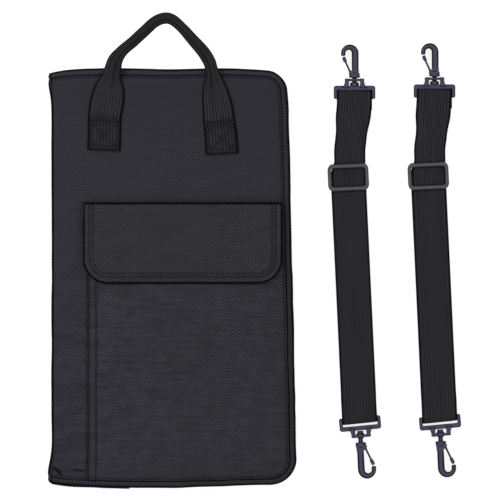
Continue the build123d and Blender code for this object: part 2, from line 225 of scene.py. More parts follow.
class Form:
    """Collects faces for one piece, with a cloth map in metres at every corner and a share of painted shade
    at every point.
    """

    def __init__(self, lie=bag_lie):
        self.points, self.faces, self.corners, self.size = [], [], [], 0
        self.lie, self.painted_shade = lie, []

    def add(self, points, faces, uv, painted_shade=None):
        points, faces, uv = np.asarray(points, float), np.asarray(faces), np.asarray(uv, float)
        if uv.ndim == 2:
            uv = uv[faces]
        self.painted_shade.append(np.zeros(len(points)) if painted_shade is None else np.ravel(painted_shade))
        self.points.append(points)
        self.faces.append(faces + self.size)
        self.corners.append(uv.reshape(-1, 2))
        self.size += len(points)

    def cap(self, faces, uv):
        """Faces on points that are already in, with their own corners of the map."""
        self.faces.append(faces)
        self.corners.append(uv)

    def tube(self, points, uv, end_uv, painted_shade):
        """A skin over rings of points, (m, n, 3), with a face at each end."""
        rows, cols = points.shape[:2]
        first = self.size
        self.add(points.reshape(-1, 3), grid_faces(rows, cols, wrap=True), uv, painted_shade)
        for start in (first, first + (rows - 1) * cols):
            self.cap(np.arange(start, start + cols)[None, :], end_uv)

    def make(self, name, material, slot):
        mesh = bpy.data.meshes.new(name)
        faces = [face for block in self.faces for face in block.tolist()]
        points = np.concatenate(self.points)
        if self.lie:
            points = self.lie(points)
        mesh.from_pydata((points * MM).tolist(), [], faces)
        # A per-point share of painted shade: how far the colour is darkened towards near black, standing in
        # for shade.
        painted_shade = mesh.attributes.new("painted_shade", "FLOAT", "POINT")
        painted_shade.data.foreach_set("value", np.concatenate(self.painted_shade).astype(np.float32))
        layer = mesh.uv_layers.new(name="cloth")
        layer.data.foreach_set("uv", (np.concatenate(self.corners) * MM).astype(np.float32).ravel())
        mesh.materials.append(material)
        piece = bpy.data.objects.new(name, mesh)
        bpy.context.scene.collection.objects.link(piece)
        work = bmesh.new()
        work.from_mesh(mesh)
        bmesh.ops.recalc_face_normals(work, faces=work.faces)
        work.to_mesh(mesh)
        work.free()
        mesh.polygons.foreach_set("use_smooth", [True] * len(mesh.polygons))
        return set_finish(piece, slot)


def grid_faces(rows, cols, wrap=False):
    i, j = np.arange(rows - 1)[:, None], np.arange(cols if wrap else cols - 1)[None, :]
    after = (j + 1) % cols
    faces = [i * cols + j, i * cols + after, (i + 1) * cols + after, (i + 1) * cols + j]
    return np.stack(faces, -1).reshape(-1, 4)


def shell(outer, inner, u, v, painted_shade=0.0):
    """A closed sheet between two grids of points, with its rim; cavity is how dark its outer side is painted,
    as painted shade in grooves and along edges.
    """
    rows, cols = outer.shape[:2]
    count = rows * cols
    faces = grid_faces(rows, cols)
    index = np.arange(count).reshape(rows, cols)
    rim = np.concatenate([index[0, :], index[1:, -1], index[-1, -2::-1], index[-2:0:-1, 0]])
    after = np.roll(rim, -1)
    sides = np.stack([rim, rim + count, after + count, after], -1)
    points = np.concatenate([outer.reshape(-1, 3), inner.reshape(-1, 3)])
    uv = np.stack([np.broadcast_to(u, (rows, cols)), np.broadcast_to(v, (rows, cols))], -1).reshape(-1, 2)
    dark = np.concatenate([np.broadcast_to(painted_shade, (rows, cols)).ravel(), np.zeros(count)])
    form = Form()
    form.add(points, np.concatenate([faces, faces[:, ::-1] + count, sides]), np.concatenate([uv, uv]), dark)
    return form


def normals_of(grid):
    along = np.gradient(grid, axis=1)
    across = np.gradient(grid, axis=0)
    normal = np.cross(along, across)
    return normal / np.maximum(np.linalg.norm(normal, axis=2, keepdims=True), 1e-9)


def add_sweep(form, path, side, up, profile, painted_shade=0.0):
    """A closed profile carried along a path; profile is (n, 2) or one for each station, (m, n, 2)."""
    path, side, up = (np.asarray(a, float) for a in (path, side, up))
    profile = np.broadcast_to(np.asarray(profile, float), (len(path), *np.shape(profile)[-2:]))
    side, up = np.broadcast_to(side, path.shape), np.broadcast_to(up, path.shape)
    points = path[:, None] + profile[..., :1] * side[:, None] + profile[..., 1:] * up[:, None]
    rows, cols = points.shape[:2]
    run, around = run_of(path), run_of(np.concatenate([profile[0], profile[0][:1]]))
    i, j = (a.ravel() for a in np.meshgrid(np.arange(rows - 1), np.arange(cols), indexing="ij"))
    corners = ((i, j), (i, j + 1), (i + 1, j + 1), (i + 1, j))
    uv = np.stack([np.stack([around[col], run[row]], -1) for row, col in corners], 1)
    form.tube(points, uv, profile[0], np.broadcast_to(painted_shade, (rows, cols)))
    return points


def capsule(length, width, height):
    """Points and faces of one stitch lying along x."""
    stations = np.array([-1, -0.82, 0, 0.82, 1]) * length / 2
    girth = np.array([0.3, 0.8, 1, 0.8, 0.3])
    lift = np.array([-0.5, -0.1, 0.1, -0.1, -0.5]) * height
    angles = np.arange(6) * math.pi / 3
    points = [
        (s, g * width / 2 * math.cos(a), g * height / 2 * math.sin(a) + h)
        for s, g, h in zip(stations, girth, lift)
        for a in angles
    ]
    return np.array(points), grid_faces(5, 6, wrap=True), np.array([range(6), range(24, 30)])


def add_capsules(form, points, quads, ends, along=0.0):
    """Copies of a capsule, points being (copies, n, 3); along is their place lengthwise, for the map."""
    copies, size = points.shape[:2]
    first, shift = form.size, (np.arange(copies) * size)[:, None, None]
    uv = np.zeros((copies, size, 2))
    uv[..., 0] = along
    form.add(points.reshape(-1, 3), (quads[None] + shift).reshape(-1, 4), uv.reshape(-1, 2))
    caps = first + (ends[None] + shift).reshape(-1, 6)
    form.cap(caps, np.zeros((caps.size, 2)))


def add_stitches(form, line, normal, pitch=3.3, length=2.5, width=0.55, height=0.42, lift=0.05):
    """A row of thread stitches along a line of points; normal is one vector or one for each point."""
    line = np.asarray(line, float)
    normal = np.broadcast_to(np.asarray(normal, float), line.shape)
    run = run_of(line)
    count = int(run[-1] / pitch)
    if count < 1:
        return
    at = (np.arange(count) + 0.5) * run[-1] / count

    def along(values, where):
        return np.stack([np.interp(where, run, values[:, k]) for k in range(3)], -1)

    centre = along(line, at)
    tangent = unit(along(line, at + 0.6) - along(line, at - 0.6))
    side = unit(np.cross(along(normal, at), tangent))
    up = np.cross(tangent, side)
    base, quads, ends = capsule(length, width, height)
    points = (
        (centre + lift * up)[:, None]
        + base[None, :, :1] * tangent[:, None]
        + base[None, :, 1:2] * side[:, None]
        + base[None, :, 2:] * up[:, None]
    )
    add_capsules(form, points, quads, ends, base[:, 0])


def sew_on(form, height, x, y, up=1, lift=0.05):
    """A row of stitches over the plan, at a height worked out from x and y; one may be a single number."""
    x, y = np.broadcast_arrays(x, y)
    add_stitches(form, np.column_stack([x, y, height(x, y)]), (0, 0, up), lift=lift)


def spline(controls, step):
    """A smooth line through control points of any width, about one sample to each step of x, y."""
    c = np.asarray(controls, float)
    c = np.concatenate([2 * c[:1] - c[1:2], c, 2 * c[-1:] - c[-2:-1]])
    rows = []
    for k in range(1, len(c) - 2):
        count = max(2, int(np.linalg.norm((c[k + 1] - c[k])[:2]) / step))
        for t in np.linspace(0, 1, count, endpoint=False):
            rows.append(0.5 * (
                2 * c[k]
                + (c[k + 1] - c[k - 1]) * t
                + (2 * c[k - 1] - 5 * c[k] + 4 * c[k + 1] - c[k + 2]) * t**2
                + (3 * c[k] - c[k - 1] - 3 * c[k + 1] + c[k + 2]) * t**3
            ))
    rows.append(c[-2])
    return np.array(rows)


def plan_frames(path):
    """Side vectors in the plan for a path that lies about flat."""
    tangent = unit(np.gradient(path[:, :2], axis=0))
    side = np.stack([tangent[:, 1], -tangent[:, 0], np.zeros(len(path))], -1)
    return side, np.array([0.0, 0.0, 1.0])


# ---------------------------------------------------------------- materials
class Nodes:
    """A material's node tree, with short calls for the nodes used here."""

    def __init__(self, name):
        self.material = bpy.data.materials.new(name)
        self.material.use_nodes = True
        self.tree = self.material.node_tree
        self.tree.nodes.clear()
        self.out = self.tree.nodes.new("ShaderNodeOutputMaterial")
        self.shader = self.tree.nodes.new("ShaderNodeBsdfPrincipled")
        self.link(self.shader.outputs[0], self.out.inputs["Surface"])

    def link(self, a, b):
        self.tree.links.new(a, b)

    def put(self, socket, value):
        if isinstance(value, bpy.types.NodeSocket):
            self.link(value, socket)
        else:
            socket.default_value = value

    def math(self, operation, a, b=0.0):
        node = self.tree.nodes.new("ShaderNodeMath")
        node.operation = operation
        self.put(node.inputs[0], a)
        self.put(node.inputs[1], b)
        return node.outputs[0]

    def plus(self, a, b):
        return self.math("ADD", a, b)

    def times(self, a, b):
        return self.math("MULTIPLY", a, b)

    def scaled(self, value, gain, offset):
        result = self.math("MULTIPLY_ADD", value, gain)
        result.node.inputs[2].default_value = offset
        return result

    def wave(self, value, turn):
        return self.math("SINE", self.times(value, turn))

    def cloth_map(self):
        node = self.tree.nodes.new("ShaderNodeUVMap")
        node.uv_map = "cloth"
        split = self.tree.nodes.new("ShaderNodeSeparateXYZ")
        self.link(node.outputs[0], split.inputs[0])
        return split.outputs[0], split.outputs[1]

    def spots(self, scale, detail, roughness, stretch=(1, 1, 1)):
        where = self.tree.nodes.new("ShaderNodeTexCoord")
        mapping = self.tree.nodes.new("ShaderNodeMapping")
        mapping.inputs["Scale"].default_value = stretch
        self.link(where.outputs["Object"], mapping.inputs[0])
        node = self.tree.nodes.new("ShaderNodeTexNoise")
        self.link(mapping.outputs[0], node.inputs["Vector"])
        node.inputs["Scale"].default_value = scale
        node.inputs["Detail"].default_value = detail
        node.inputs["Roughness"].default_value = roughness
        return node.outputs[0]

    def mix(self, share, a, b):
        node = self.tree.nodes.new("ShaderNodeMix")
        node.data_type = "RGBA"
        self.put(node.inputs[0], share)
        self.put(node.inputs[6], a)
        self.put(node.inputs[7], b)
        return node.outputs[2]

    def shaded(self, color):
        """The colour with painted shade: darker, down to near black, by the piece's share of painted shade in
        grooves, seams and creases and along edges and flanks.
        """
        node = self.tree.nodes.new("ShaderNodeAttribute")
        node.attribute_name = "painted_shade"
        share = self.times(node.outputs["Fac"], 0.97)
        return self.mix(share, color, (0.0012, 0.0011, 0.0014, 1))

    def bump(self, height, strength, distance):
        node = self.tree.nodes.new("ShaderNodeBump")
        node.inputs["Strength"].default_value = strength
        node.inputs["Distance"].default_value = distance
        self.link(height, node.inputs["Height"])
        return node.outputs[0]

    def finish(self, color, rough, normal=None, **sockets):
        self.put(self.shader.inputs["Base Color"], color)
        self.put(self.shader.inputs["Roughness"], rough)
        if normal is not None:
            self.link(normal, self.shader.inputs["Normal"])
        for name, value in sockets.items():
            self.shader.inputs[name.replace("_", " ")].default_value = value
        return self.material


ALBEDO = 0.85  # how much of a screen colour the cloth itself has under the studio light


def rgb(*levels):
    """A colour from its levels on screen, 0 to 255, in the shader's linear numbers and times the albedo."""
    linear = [v / 255 / 12.92 if v <= 10 else ((v / 255 + 0.055) / 1.055) ** 2.4 for v in levels]
    return (*[ALBEDO * v for v in linear], 1.0)


def tinted(color, gain):
    return [min(c * gain, 1) for c in color[:3]] + [1]


def woven(name, color, period, contrast, relief=0.00022, strong=0.6, taut=0.0):
    """Plain basket weave with loose fibres and slow patches.

    taut is how much the weave flattens towards the map's +v; by the same amount the colour grows lighter
    towards -v, the bottom of the bag.
    """
    n = Nodes(name)
    u, v = n.cloth_map()
    turn = 2 * math.pi / (period * MM)
    wave_u = n.wave(u, turn)
    wave_v = n.wave(v, turn * 1.04)
    check = n.times(wave_u, wave_v)
    fibre = n.spots(2600, 3.0, 0.7)
    rows = n.spots(75, 3.0, 0.75, (0.4, 3.4, 1))
    patch = n.spots(7.0, 3.0, 0.55)
    clump = n.spots(85, 2.0, 0.6)
    strength = n.plus(n.times(rows, 2.6), n.times(clump, 1.6))
    strength = n.math("MAXIMUM", n.math("SUBTRACT", strength, 1.45), 0.0)
    if taut:
        flat = n.scaled(v, -taut, 0.6)
        strength = n.times(strength, n.math("MAXIMUM", flat, 0.05))
    raised = n.times(check, strength)
    weave = n.scaled(raised, strong, 0.42)
    threads = n.wave(n.plus(u, v), turn * 3.3)
    height = n.plus(weave, n.times(threads, 0.08))
    height = n.plus(height, n.times(fibre, 0.35))
    base = n.mix(weave, tinted(color, 1 - contrast), tinted(color, 1 + 1.6 * contrast))
    speck = n.mix(n.times(fibre, 0.2), base, tinted(color, 1.3))
    streak = n.mix(n.times(rows, 0.6), speck, tinted(color, 0.45))
    shade = n.mix(n.times(patch, 0.5), streak, tinted(color, 0.78))
    if taut:
        shade = n.mix(n.times(flat, 0.32), shade, tinted(color, 1.9))
    roughness = n.scaled(fibre, 0.2, 0.7)
    return n.finish(
        n.shaded(shade), roughness, n.bump(height, 0.9, relief),
        Sheen_Weight=0.006, Sheen_Roughness=0.45, Specular_IOR_Level=0.03,
    )


def webbing_finish(name, color, rib=3.2, weft=2.9, relief=0.0002, contrast=0.5):
    """Ribbed webbing: warp cords lengthwise (the map's v), fine weft across them."""
    n = Nodes(name)
    u, v = n.cloth_map()
    cord = n.wave(u, 2 * math.pi / (rib * MM))
    cross = n.wave(v, 2 * math.pi / (weft * MM))
    pick = n.times(cord, cross)
    fibre = n.spots(2200, 3.0, 0.7)
    patch = n.spots(14.0, 2.0, 0.5)
    lines = n.spots(160, 3.0, 0.6, (1.0, 0.06, 1))
    height = n.plus(n.times(cord, 0.4), n.times(pick, 0.8))
    height = n.plus(height, n.times(fibre, 0.4))
    share = n.plus(n.times(height, 0.7), n.times(lines, 0.5))
    base = n.mix(share, tinted(color, 1 - contrast), tinted(color, 1 + 1.4 * contrast))
    shade = n.mix(n.times(patch, 0.5), base, tinted(color, 0.75))
    return n.finish(
        n.shaded(shade), n.plus(n.times(fibre, 0.2), 0.62), n.bump(height, 0.9, relief),
        Sheen_Weight=0.006, Sheen_Roughness=0.4, Specular_IOR_Level=0.04,
    )


def moulded_finish(name, color, rough, metallic=0.0):
    """Injection-moulded plastic or lacquered metal, with a fine grain and handling marks."""
    n = Nodes(name)
    grain = n.spots(1500, 2.0, 0.6)
    marks = n.spots(90, 4.0, 0.65, (1, 3, 1))
    base = n.mix(marks, tinted(color, 0.82), tinted(color, 1.22))
    roughness = n.plus(n.times(marks, 0.22), rough - 0.1)
    return n.finish(
        n.shaded(base), roughness, n.bump(grain, 0.5, 0.00003),
        Metallic=metallic, Specular_IOR_Level=0.22,
    )


def pile_finish(name, color):
    """Hook-and-loop: a dense pile of small loops."""
    n = Nodes(name)
    loops = n.spots(1300, 2.0, 0.8)
    tufts = n.spots(320, 2.0, 0.6)
    height = n.plus(loops, n.times(tufts, 0.6))
    base = n.mix(loops, tinted(color, 0.5), tinted(color, 1.6))
    return n.finish(base, n.plus(n.times(loops, 0.15), 0.8), n.bump(height, 1.0, 0.0006),
                    Sheen_Weight=0.08, Specular_IOR_Level=0.15)


def thread_finish(name, color):
    n = Nodes(name)
    u, _ = n.cloth_map()
    ply = n.wave(u, 2 * math.pi / (0.7 * MM))
    base = n.mix(n.plus(n.times(ply, 0.3), 0.5), tinted(color, 0.8), tinted(color, 1.2))
    fibre = n.spots(3000, 2.0, 0.6)
    return n.finish(base, n.plus(n.times(fibre, 0.2), 0.5), n.bump(fibre, 0.5, 0.00008),
                    Sheen_Weight=0.03, Specular_IOR_Level=0.25)


# Four copies of one outer fabric at different brightness, each set to how light falls on its part: painted
# light and shade. The gussets' copy is painted lighter against the shade on their sloping sides.
CLOTH = woven("outer_cloth", rgb(59, 57, 64), 3.6, contrast=0.98, strong=2.2)
COVER = woven("cover_cloth", rgb(48, 47, 53), 3.6, contrast=0.98, strong=5.5, taut=2.8)
POCKET = woven("pocket_cloth_finish", rgb(56, 55, 61), 3.6, contrast=0.98, strong=4.8)
FLAP_CLOTH = woven("flap_cloth", rgb(52, 51, 56), 3.6, contrast=0.98, strong=3.0)
INNER_CLOTH = woven("inner_cloth", rgb(58, 58, 64), 1.1, contrast=0.25, relief=0.00012)
SLEEVE_CLOTH = woven("sleeve_cloth", rgb(48, 48, 54), 1.4, contrast=0.3, relief=0.00015)
TAPE = woven("zipper_tape_cloth", rgb(34, 33, 38), 0.9, contrast=0.3, relief=0.0001)
BINDING = webbing_finish("binding_tape", rgb(30, 29, 34), rib=1.2, weft=1.0, relief=0.0001)
# Near black: partly the bound edge's own colour, partly painted shadow for the gap under the flap's edge.
EDGE_BINDING_AND_SHADOW = webbing_finish("edge_binding_and_painted_shadow_tape", rgb(12, 11, 14), rib=1.2, weft=1.0, relief=0.0001)
WEBBING = webbing_finish("strap_webbing_cloth", rgb(41, 40, 44), contrast=0.97)
HANDLE_WEBBING = webbing_finish("handle_webbing_cloth", rgb(42, 42, 45), rib=3.8, contrast=0.9)
THREAD = thread_finish("sewing_thread", rgb(38, 37, 43))
BUCKLE = moulded_finish("buckle_plastic_finish", rgb(63, 60, 83), rough=0.38)
BAR = moulded_finish("adjuster_plastic_finish", rgb(74, 72, 79), rough=0.5)
METAL = moulded_finish("lacquered_metal", rgb(44, 44, 48), rough=0.38, metallic=0.6)
TEETH = moulded_finish("zipper_teeth_nylon", rgb(34, 34, 40), rough=0.35)
PILE = pile_finish("hook_and_loop_pile", rgb(32, 32, 36))


# ---------------------------------------------------------------- front and back covers
def edge_pucker(x, y, distance, seed, size=0.45, reach=9.0):
    """Small gathers that a seam pulls into the cloth beside it."""
    ripples = noise(x, y, (7.5, 7.5), seed) + 0.5 * noise(x, y, (4.2, 4.2), seed + 1)
    return size * ripples * np.exp(-np.maximum(distance, 0) / reach)


def seam_shade(distance):
    """How dark the seam and its topstitching are painted: painted shade in their grooves."""
    return np.clip(groove(distance, 1.0) + 0.7 * groove(distance - TOPSTITCH, 0.8), 0, 1)


def slow_waves(x, y, seed, size):
    broad = noise(x + 0.35 * y, y - 0.2 * x, (70, 46), seed)
    creases = noise(x - 0.6 * y, y + 0.4 * x, (60, 17), seed + 1)
    return size * (broad + 0.45 * creases * np.abs(broad))


def seam_roll(distance):
    """How far the padded face drops as it comes to its seam, with the seam and the topstitching in it."""
    roll = 2.3 * np.exp(-np.maximum(distance, 0) / 7.0)
    return roll + 1.1 * groove(distance, 0.8) + 0.7 * groove(distance - TOPSTITCH, 0.7)


def corner_tuck(x, y):
    """The crumpled cloth at the bottom of the fold."""
    near = np.exp(-(((x - SPINE_X - 4) / 11) ** 2 + ((y + HALF_HEIGHT - 22) / 12) ** 2))
    rough = near * (1.1 * noise(x + y, y - x, (6, 4), 41) + 0.6 * noise(x, y, (3.2, 3.2), 42))
    return rough - 1.2 * tuck_creases(x, y)


CREASE_X = -105  # middle of the short crease beside the pocket's hem


def tuck_creases(x, y):
    """Two sharp creases by the bottom of the fold: one round the corner, one beside the pocket's hem."""
    dx, dy = x - SPINE_X - 2, y + HALF_HEIGHT - 7
    turn = np.arctan2(dy, dx)
    curl = groove(np.hypot(dx, dy) - 13.5, 1.5) * smooth((turn - 0.15) / 0.5) * smooth((1.9 - turn) / 0.4)
    along = x - CREASE_X
    short = groove(y + HALF_HEIGHT - 19.5 + 0.06 * along, 1.2) * np.exp(-((along / 7) ** 4))
    return np.maximum(curl, 0.8 * short)


def front_height(x, y):
    """Height of the bag's front face over the plan."""
    distance = inset_of(x, y) - SEAM
    crown = 1.1 * (1 - np.exp(-np.maximum(distance, 0) / 45))
    height = FRONT_Z - seam_roll(distance) + crown - 0.3
    return height + edge_pucker(x, y, distance, 3) + slow_waves(x, y, 7, 0.45) + corner_tuck(x, y)


RING_ZONE = 190  # further than this from mid-length the back is recessed for the rings' tabs


def back_height(x, y):
    """Height of the back face, which the bag lies on; the rings' ends are set into it."""
    distance = inset_of(x, y) - SEAM
    in_zone, inside = smooth((np.abs(y) - RING_ZONE) / 11), smooth(distance / 2.2)
    recess = 4.1 * in_zone * inside
    low = 0.35 + seam_roll(distance) * (1 - smooth((np.abs(y) - RING_ZONE - 6) / 8) * inside)
    wave = 0.25 * (1 + slow_waves(x, y, 17, 0.8)) + 0.3 * (1 + edge_pucker(x, y, distance, 13, 0.7))
    return np.maximum(low + recess, 0.05) + wave * (1 - in_zone)


ARC = FOLD_RADIUS * math.pi / 2
RISE = MID_Z - FOLD_RADIUS  # straight part of the spine wall, from mid-height up to the fold


def cover_grid():
    """Shares across and along the cover: s runs from mid-spine over the fold, then across the face."""
    fold = np.concatenate([np.linspace(0, RISE, 6, endpoint=False), RISE + np.linspace(0, ARC, 13)])
    across = graded(0, 268, 0.55, 2.6, fine_start=False, zone=4)
    along = 2 * graded(-HALF_HEIGHT, HALF_HEIGHT, 0.55, 2.6, zone=4) - 1
    return fold, across, along


def end_drop(y):
    """How far the fold's cloth gives way at the bag's two ends."""
    inside = HALF_HEIGHT - SEAM - np.abs(y)
    return np.minimum(seam_roll(inside), 3.2) + 1.6 * smooth((-inside - 4) / 3.5)


def spine_bow(y):
    """How far the fold stands in from its plane."""
    return 0.8 + 0.5 * noise(y, y, (38, 38), 5)


def cover_surface(height):
    """Outer points of a cover with its front face up, and the cloth's own lengths for the weave."""
    fold, across, along = cover_grid()
    cols = len(fold) + len(across) - 1
    end = np.full(cols, HALF_HEIGHT - SEAM)
    end[: len(fold)] = HALF_HEIGHT - SEAM + (SEAM - 0.5) * smooth((RISE + ARC - fold) / 7)
    y = along[:, None] * end[None, :]
    points = np.zeros((len(along), cols, 3))
    s = np.zeros_like(y)
    angle = np.clip((fold - RISE) / FOLD_RADIUS, 0, math.pi / 2)
    shrink = end_drop(y[:, : len(fold)])
    normal_x, normal_z = -np.cos(angle), np.sin(angle)
    points[:, : len(fold), 0] = SPINE_X + FOLD_RADIUS * (1 - np.cos(angle)) - shrink * normal_x * 0.8
    z_fold = np.where(fold < RISE, MID_Z + fold, MID_Z + RISE + FOLD_RADIUS * np.sin(angle))
    points[:, : len(fold), 2] = z_fold - shrink * normal_z
    s[:, : len(fold)] = fold
    left = SPINE_X + FOLD_RADIUS
    right = side_x(y[:, -1], SEAM)
    x = left + across[None, 1:] * (right[:, None] - left)
    points[:, len(fold):, 0] = x
    points[:, len(fold):, 2] = height(x, y[:, len(fold):])
    s[:, len(fold):] = RISE + ARC + (x - left)
    points[..., 1] = y
    # The fold's top meets the face without a step.
    edge = points[:, len(fold) - 1]
    want = height(np.full(len(along), left), y[:, len(fold) - 1])
    step = want - edge[:, 2]
    fade = smooth((fold - RISE * 0.6) / (ARC + RISE * 0.4))
    points[:, : len(fold), 2] += step[:, None] * fade[None, :]
    reach = np.exp(-np.maximum(points[..., 0] - SPINE_X, 0) / 22)
    points[..., 0] += reach * spine_bow(y)
    return points, s, y, len(fold)


def cover_inner(points, folds):
    """The foam's inner side."""
    inner = points.copy()
    under = FRONT_Z - WALL - 1.1
    inner[:, :folds, 0] = np.maximum(points[:, :folds, 0], SPINE_X + WALL)
    inner[:, :folds, 2] = np.minimum(points[:, :folds, 2], under)
    inner[:, folds:, 0] = np.maximum(points[:, folds:, 0], SPINE_X + WALL + 0.1)
    inner[:, folds:, 2] = under
    return inner


def flip(points):
    """The back half is the front half turned over about mid-height."""
    turned = points.copy()
    turned[..., 2] = 2 * MID_Z - turned[..., 2]
    return turned


def back_as_front(x, y):
    return 2 * MID_Z - back_height(x, y)


def make_covers():
    for name, height, turned in (
        ("front_cover_cloth", front_height, False),
        ("back_cover_cloth", back_as_front, True),
    ):
        points, s, y, folds = cover_surface(height)
        inner = cover_inner(points, folds)
        if turned:
            points, inner = flip(points), flip(inner)
        # Painted shade: darker in the seam and topstitching grooves, near black along the fold's outer edge
        # at the left, and darker in the front's creases at the bottom of the fold.
        dark = seam_shade(inset_of(np.maximum(points[..., 0], SPINE_X + 12), y) - SEAM)
        left = points[..., 0] - points[..., 0].min(axis=1, keepdims=True)
        dark = np.maximum(dark, smooth((3.3 - left) / 1.0))
        if not turned:
            dark = np.maximum(dark, np.minimum(1.3 * tuck_creases(points[..., 0], y), 1))
        form = shell(points, inner, s, y, dark)
        cover = form.make(name, COVER, "outer_cloth")
        if turned:
            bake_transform(cover)
            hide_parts("back_panel", "back_foam")
        else:
            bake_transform(cover)
            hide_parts("front_panel", "front_foam", "spine_panel")


def make_spine():
    """The strip down the middle of the spine, and the padded inside of the spine."""
    y = np.linspace(-HALF_HEIGHT + 1.2, HALF_HEIGHT - 1.2, 160)
    path = np.stack([SPINE_X + spine_bow(y) + 0.8 * end_drop(y), y, np.full_like(y, MID_Z)], -1)
    tape = Form()
    add_sweep(tape, path, (0, 0, 1), (-1, 0, 0), rounded_strip(9.0, 1.1, 9))
    strip = tape.make("spine_seam_tape", BINDING, "binding")
    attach(strip, "spine")
    thread = Form()
    for side in (-3.0, 3.0):
        add_stitches(thread, path + [-0.5, 0, side], (-1, 0, 0))
    sewing = thread.make("spine_seam_stitching", THREAD, "binding")
    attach(sewing, "spine")

    low, high = box_mm("spine_lining")
    yy = np.linspace(low[1], high[1], 120)[:, None]
    zz = np.linspace(low[2] + 0.3, high[2] - 0.3, 16)[None, :]
    edge = np.minimum(np.minimum(zz - low[2], high[2] - zz) / 4, np.minimum(yy - low[1], high[1] - yy) / 8)
    bulge = 0.7 * smooth(edge) + 0.2 * noise(yy, zz, (16, 9), 71)
    outer = np.stack(np.broadcast_arrays(high[0] + bulge - 0.2, yy, zz), -1)
    inner = outer.copy()
    inner[..., 0] = SPINE_X + WALL - 0.6
    form = shell(outer, inner, zz, yy)
    pad = form.make("spine_inner_pad", INNER_CLOTH, "inner_cloth")
    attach(pad, "spine")
    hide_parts("spine_foam", "spine_lining")


def rounded_strip(width, thickness, count, ribs=0, depth=0.0):
    """Closed profile of a flat strip with rounded edges, and lengthwise ribs if asked for."""
    a = np.linspace(-1, 1, max(count, 3))
    body = thickness / 2 * (1 - np.abs(a) ** 8) ** 0.5
    if ribs:
        body = body + depth * np.cos(a * ribs * math.pi) * (1 - np.abs(a) ** 8)
    top = np.stack([a * width / 2, body], -1)
    bottom = np.stack([a[::-1] * width / 2, -body[::-1]], -1)[1:-1]
    return np.concatenate([top, bottom])


# ---------------------------------------------------------------- gussets and zipper
# The gusset's outer line as (inset, height), from the panel's seam over the shoulder to the zipper.
GUSSET_LINE = [
    (8.7, 30.2), (8.1, 30.8), (7.4, 31.7), (6.3, 31.9), (4.9, 31.1), (3.4, 29.5),
    (2.1, 27.2), (1.1, 24.9), (0.55, 22.9), (0.6, 21.7), (1.3, 21.15), (3.2, 21.05), (7.0, 21.05),
]
GUSSET_THICK = 1.4
GUSSET_STITCH, SHOULDER_Z = 5.4, 31.55  # inset and height of the stitches on the gusset's shoulder
TEETH_INSET = 6.35
TEETH_PITCH = 1.6


def gusset_profile():
    line = spline(GUSSET_LINE, 1.0)
    tangent = unit(np.gradient(line, axis=0))
    return line, line + GUSSET_THICK * np.stack([-tangent[:, 1], tangent[:, 0]], -1)


def make_gussets():
    base, normal, run = outline(INNER_X, 2.6)
    line, inside = gusset_profile()
    profile = np.concatenate([line, inside[::-1]])
    weight = np.concatenate([bulge_weight(line), bulge_weight(inside)[::-1]])
    swell = 0.55 * noise(run, 0, (26, 50), 23) + 0.3 * noise(run, 9, (9, 50), 24)
    inset = profile[None, :, 0] - weight[None, :] * swell[:, None]
    height = profile[None, :, 1] + weight[None, :] * 0.4 * swell[:, None]
    plan = base[:, None] - inset[..., None] * normal[:, None]
    points = np.concatenate([plan, height[..., None]], -1)
    # Painted shade: darker in the seam and the shoulder's stitch line on top, and near black along the
    # outermost edge of the bag's outline.
    dark = 1.1 * groove(profile[:, 0] - SEAM, 0.7) + 0.5 * groove(profile[:, 0] - GUSSET_STITCH, 0.5)
    dark = np.clip(dark, 0, 1) * (profile[:, 1] > 29)
    dark = np.maximum(dark, smooth((3.7 - profile[:, 0]) / 0.8))
    for name, turned, body in (("front", False, "front_half"), ("back", True, "back_half")):
        shape = flip(points) if turned else points
        form = Form()
        add_ring_sweep(form, shape, profile, run, np.broadcast_to(dark, shape.shape[:2]))
        gusset = form.make(f"{name}_gusset_cloth", CLOTH, "outer_cloth")
        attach(gusset, body)
        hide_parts(f"{name}_gusset")
        make_edge_trim(name, turned, body, base, normal, run)


def bulge_weight(line):
    return np.clip(np.sin(np.clip((line[:, 1] - 21.5) / 10.2, 0, 1) * math.pi), 0, 1)


def swept_edge(base, normal, profile, turned):
    """The points of a profile of (inset, height) carried round the bag's outline."""
    inset, z = profile.T
    plan = base[:, None] - inset[None, :, None] * normal[:, None]
    points = np.concatenate([plan, np.broadcast_to(z, plan.shape[:2])[..., None]], -1)
    return flip(points) if turned else points


def add_ring_sweep(form, points, profile, run, painted_shade=None):
    """A profile carried round the bag, run being the distance along it."""
    uv = np.stack(np.broadcast_arrays(run_of(profile)[None, :], run[:, None]), -1).reshape(-1, 2)
    form.tube(points, uv, profile, painted_shade)


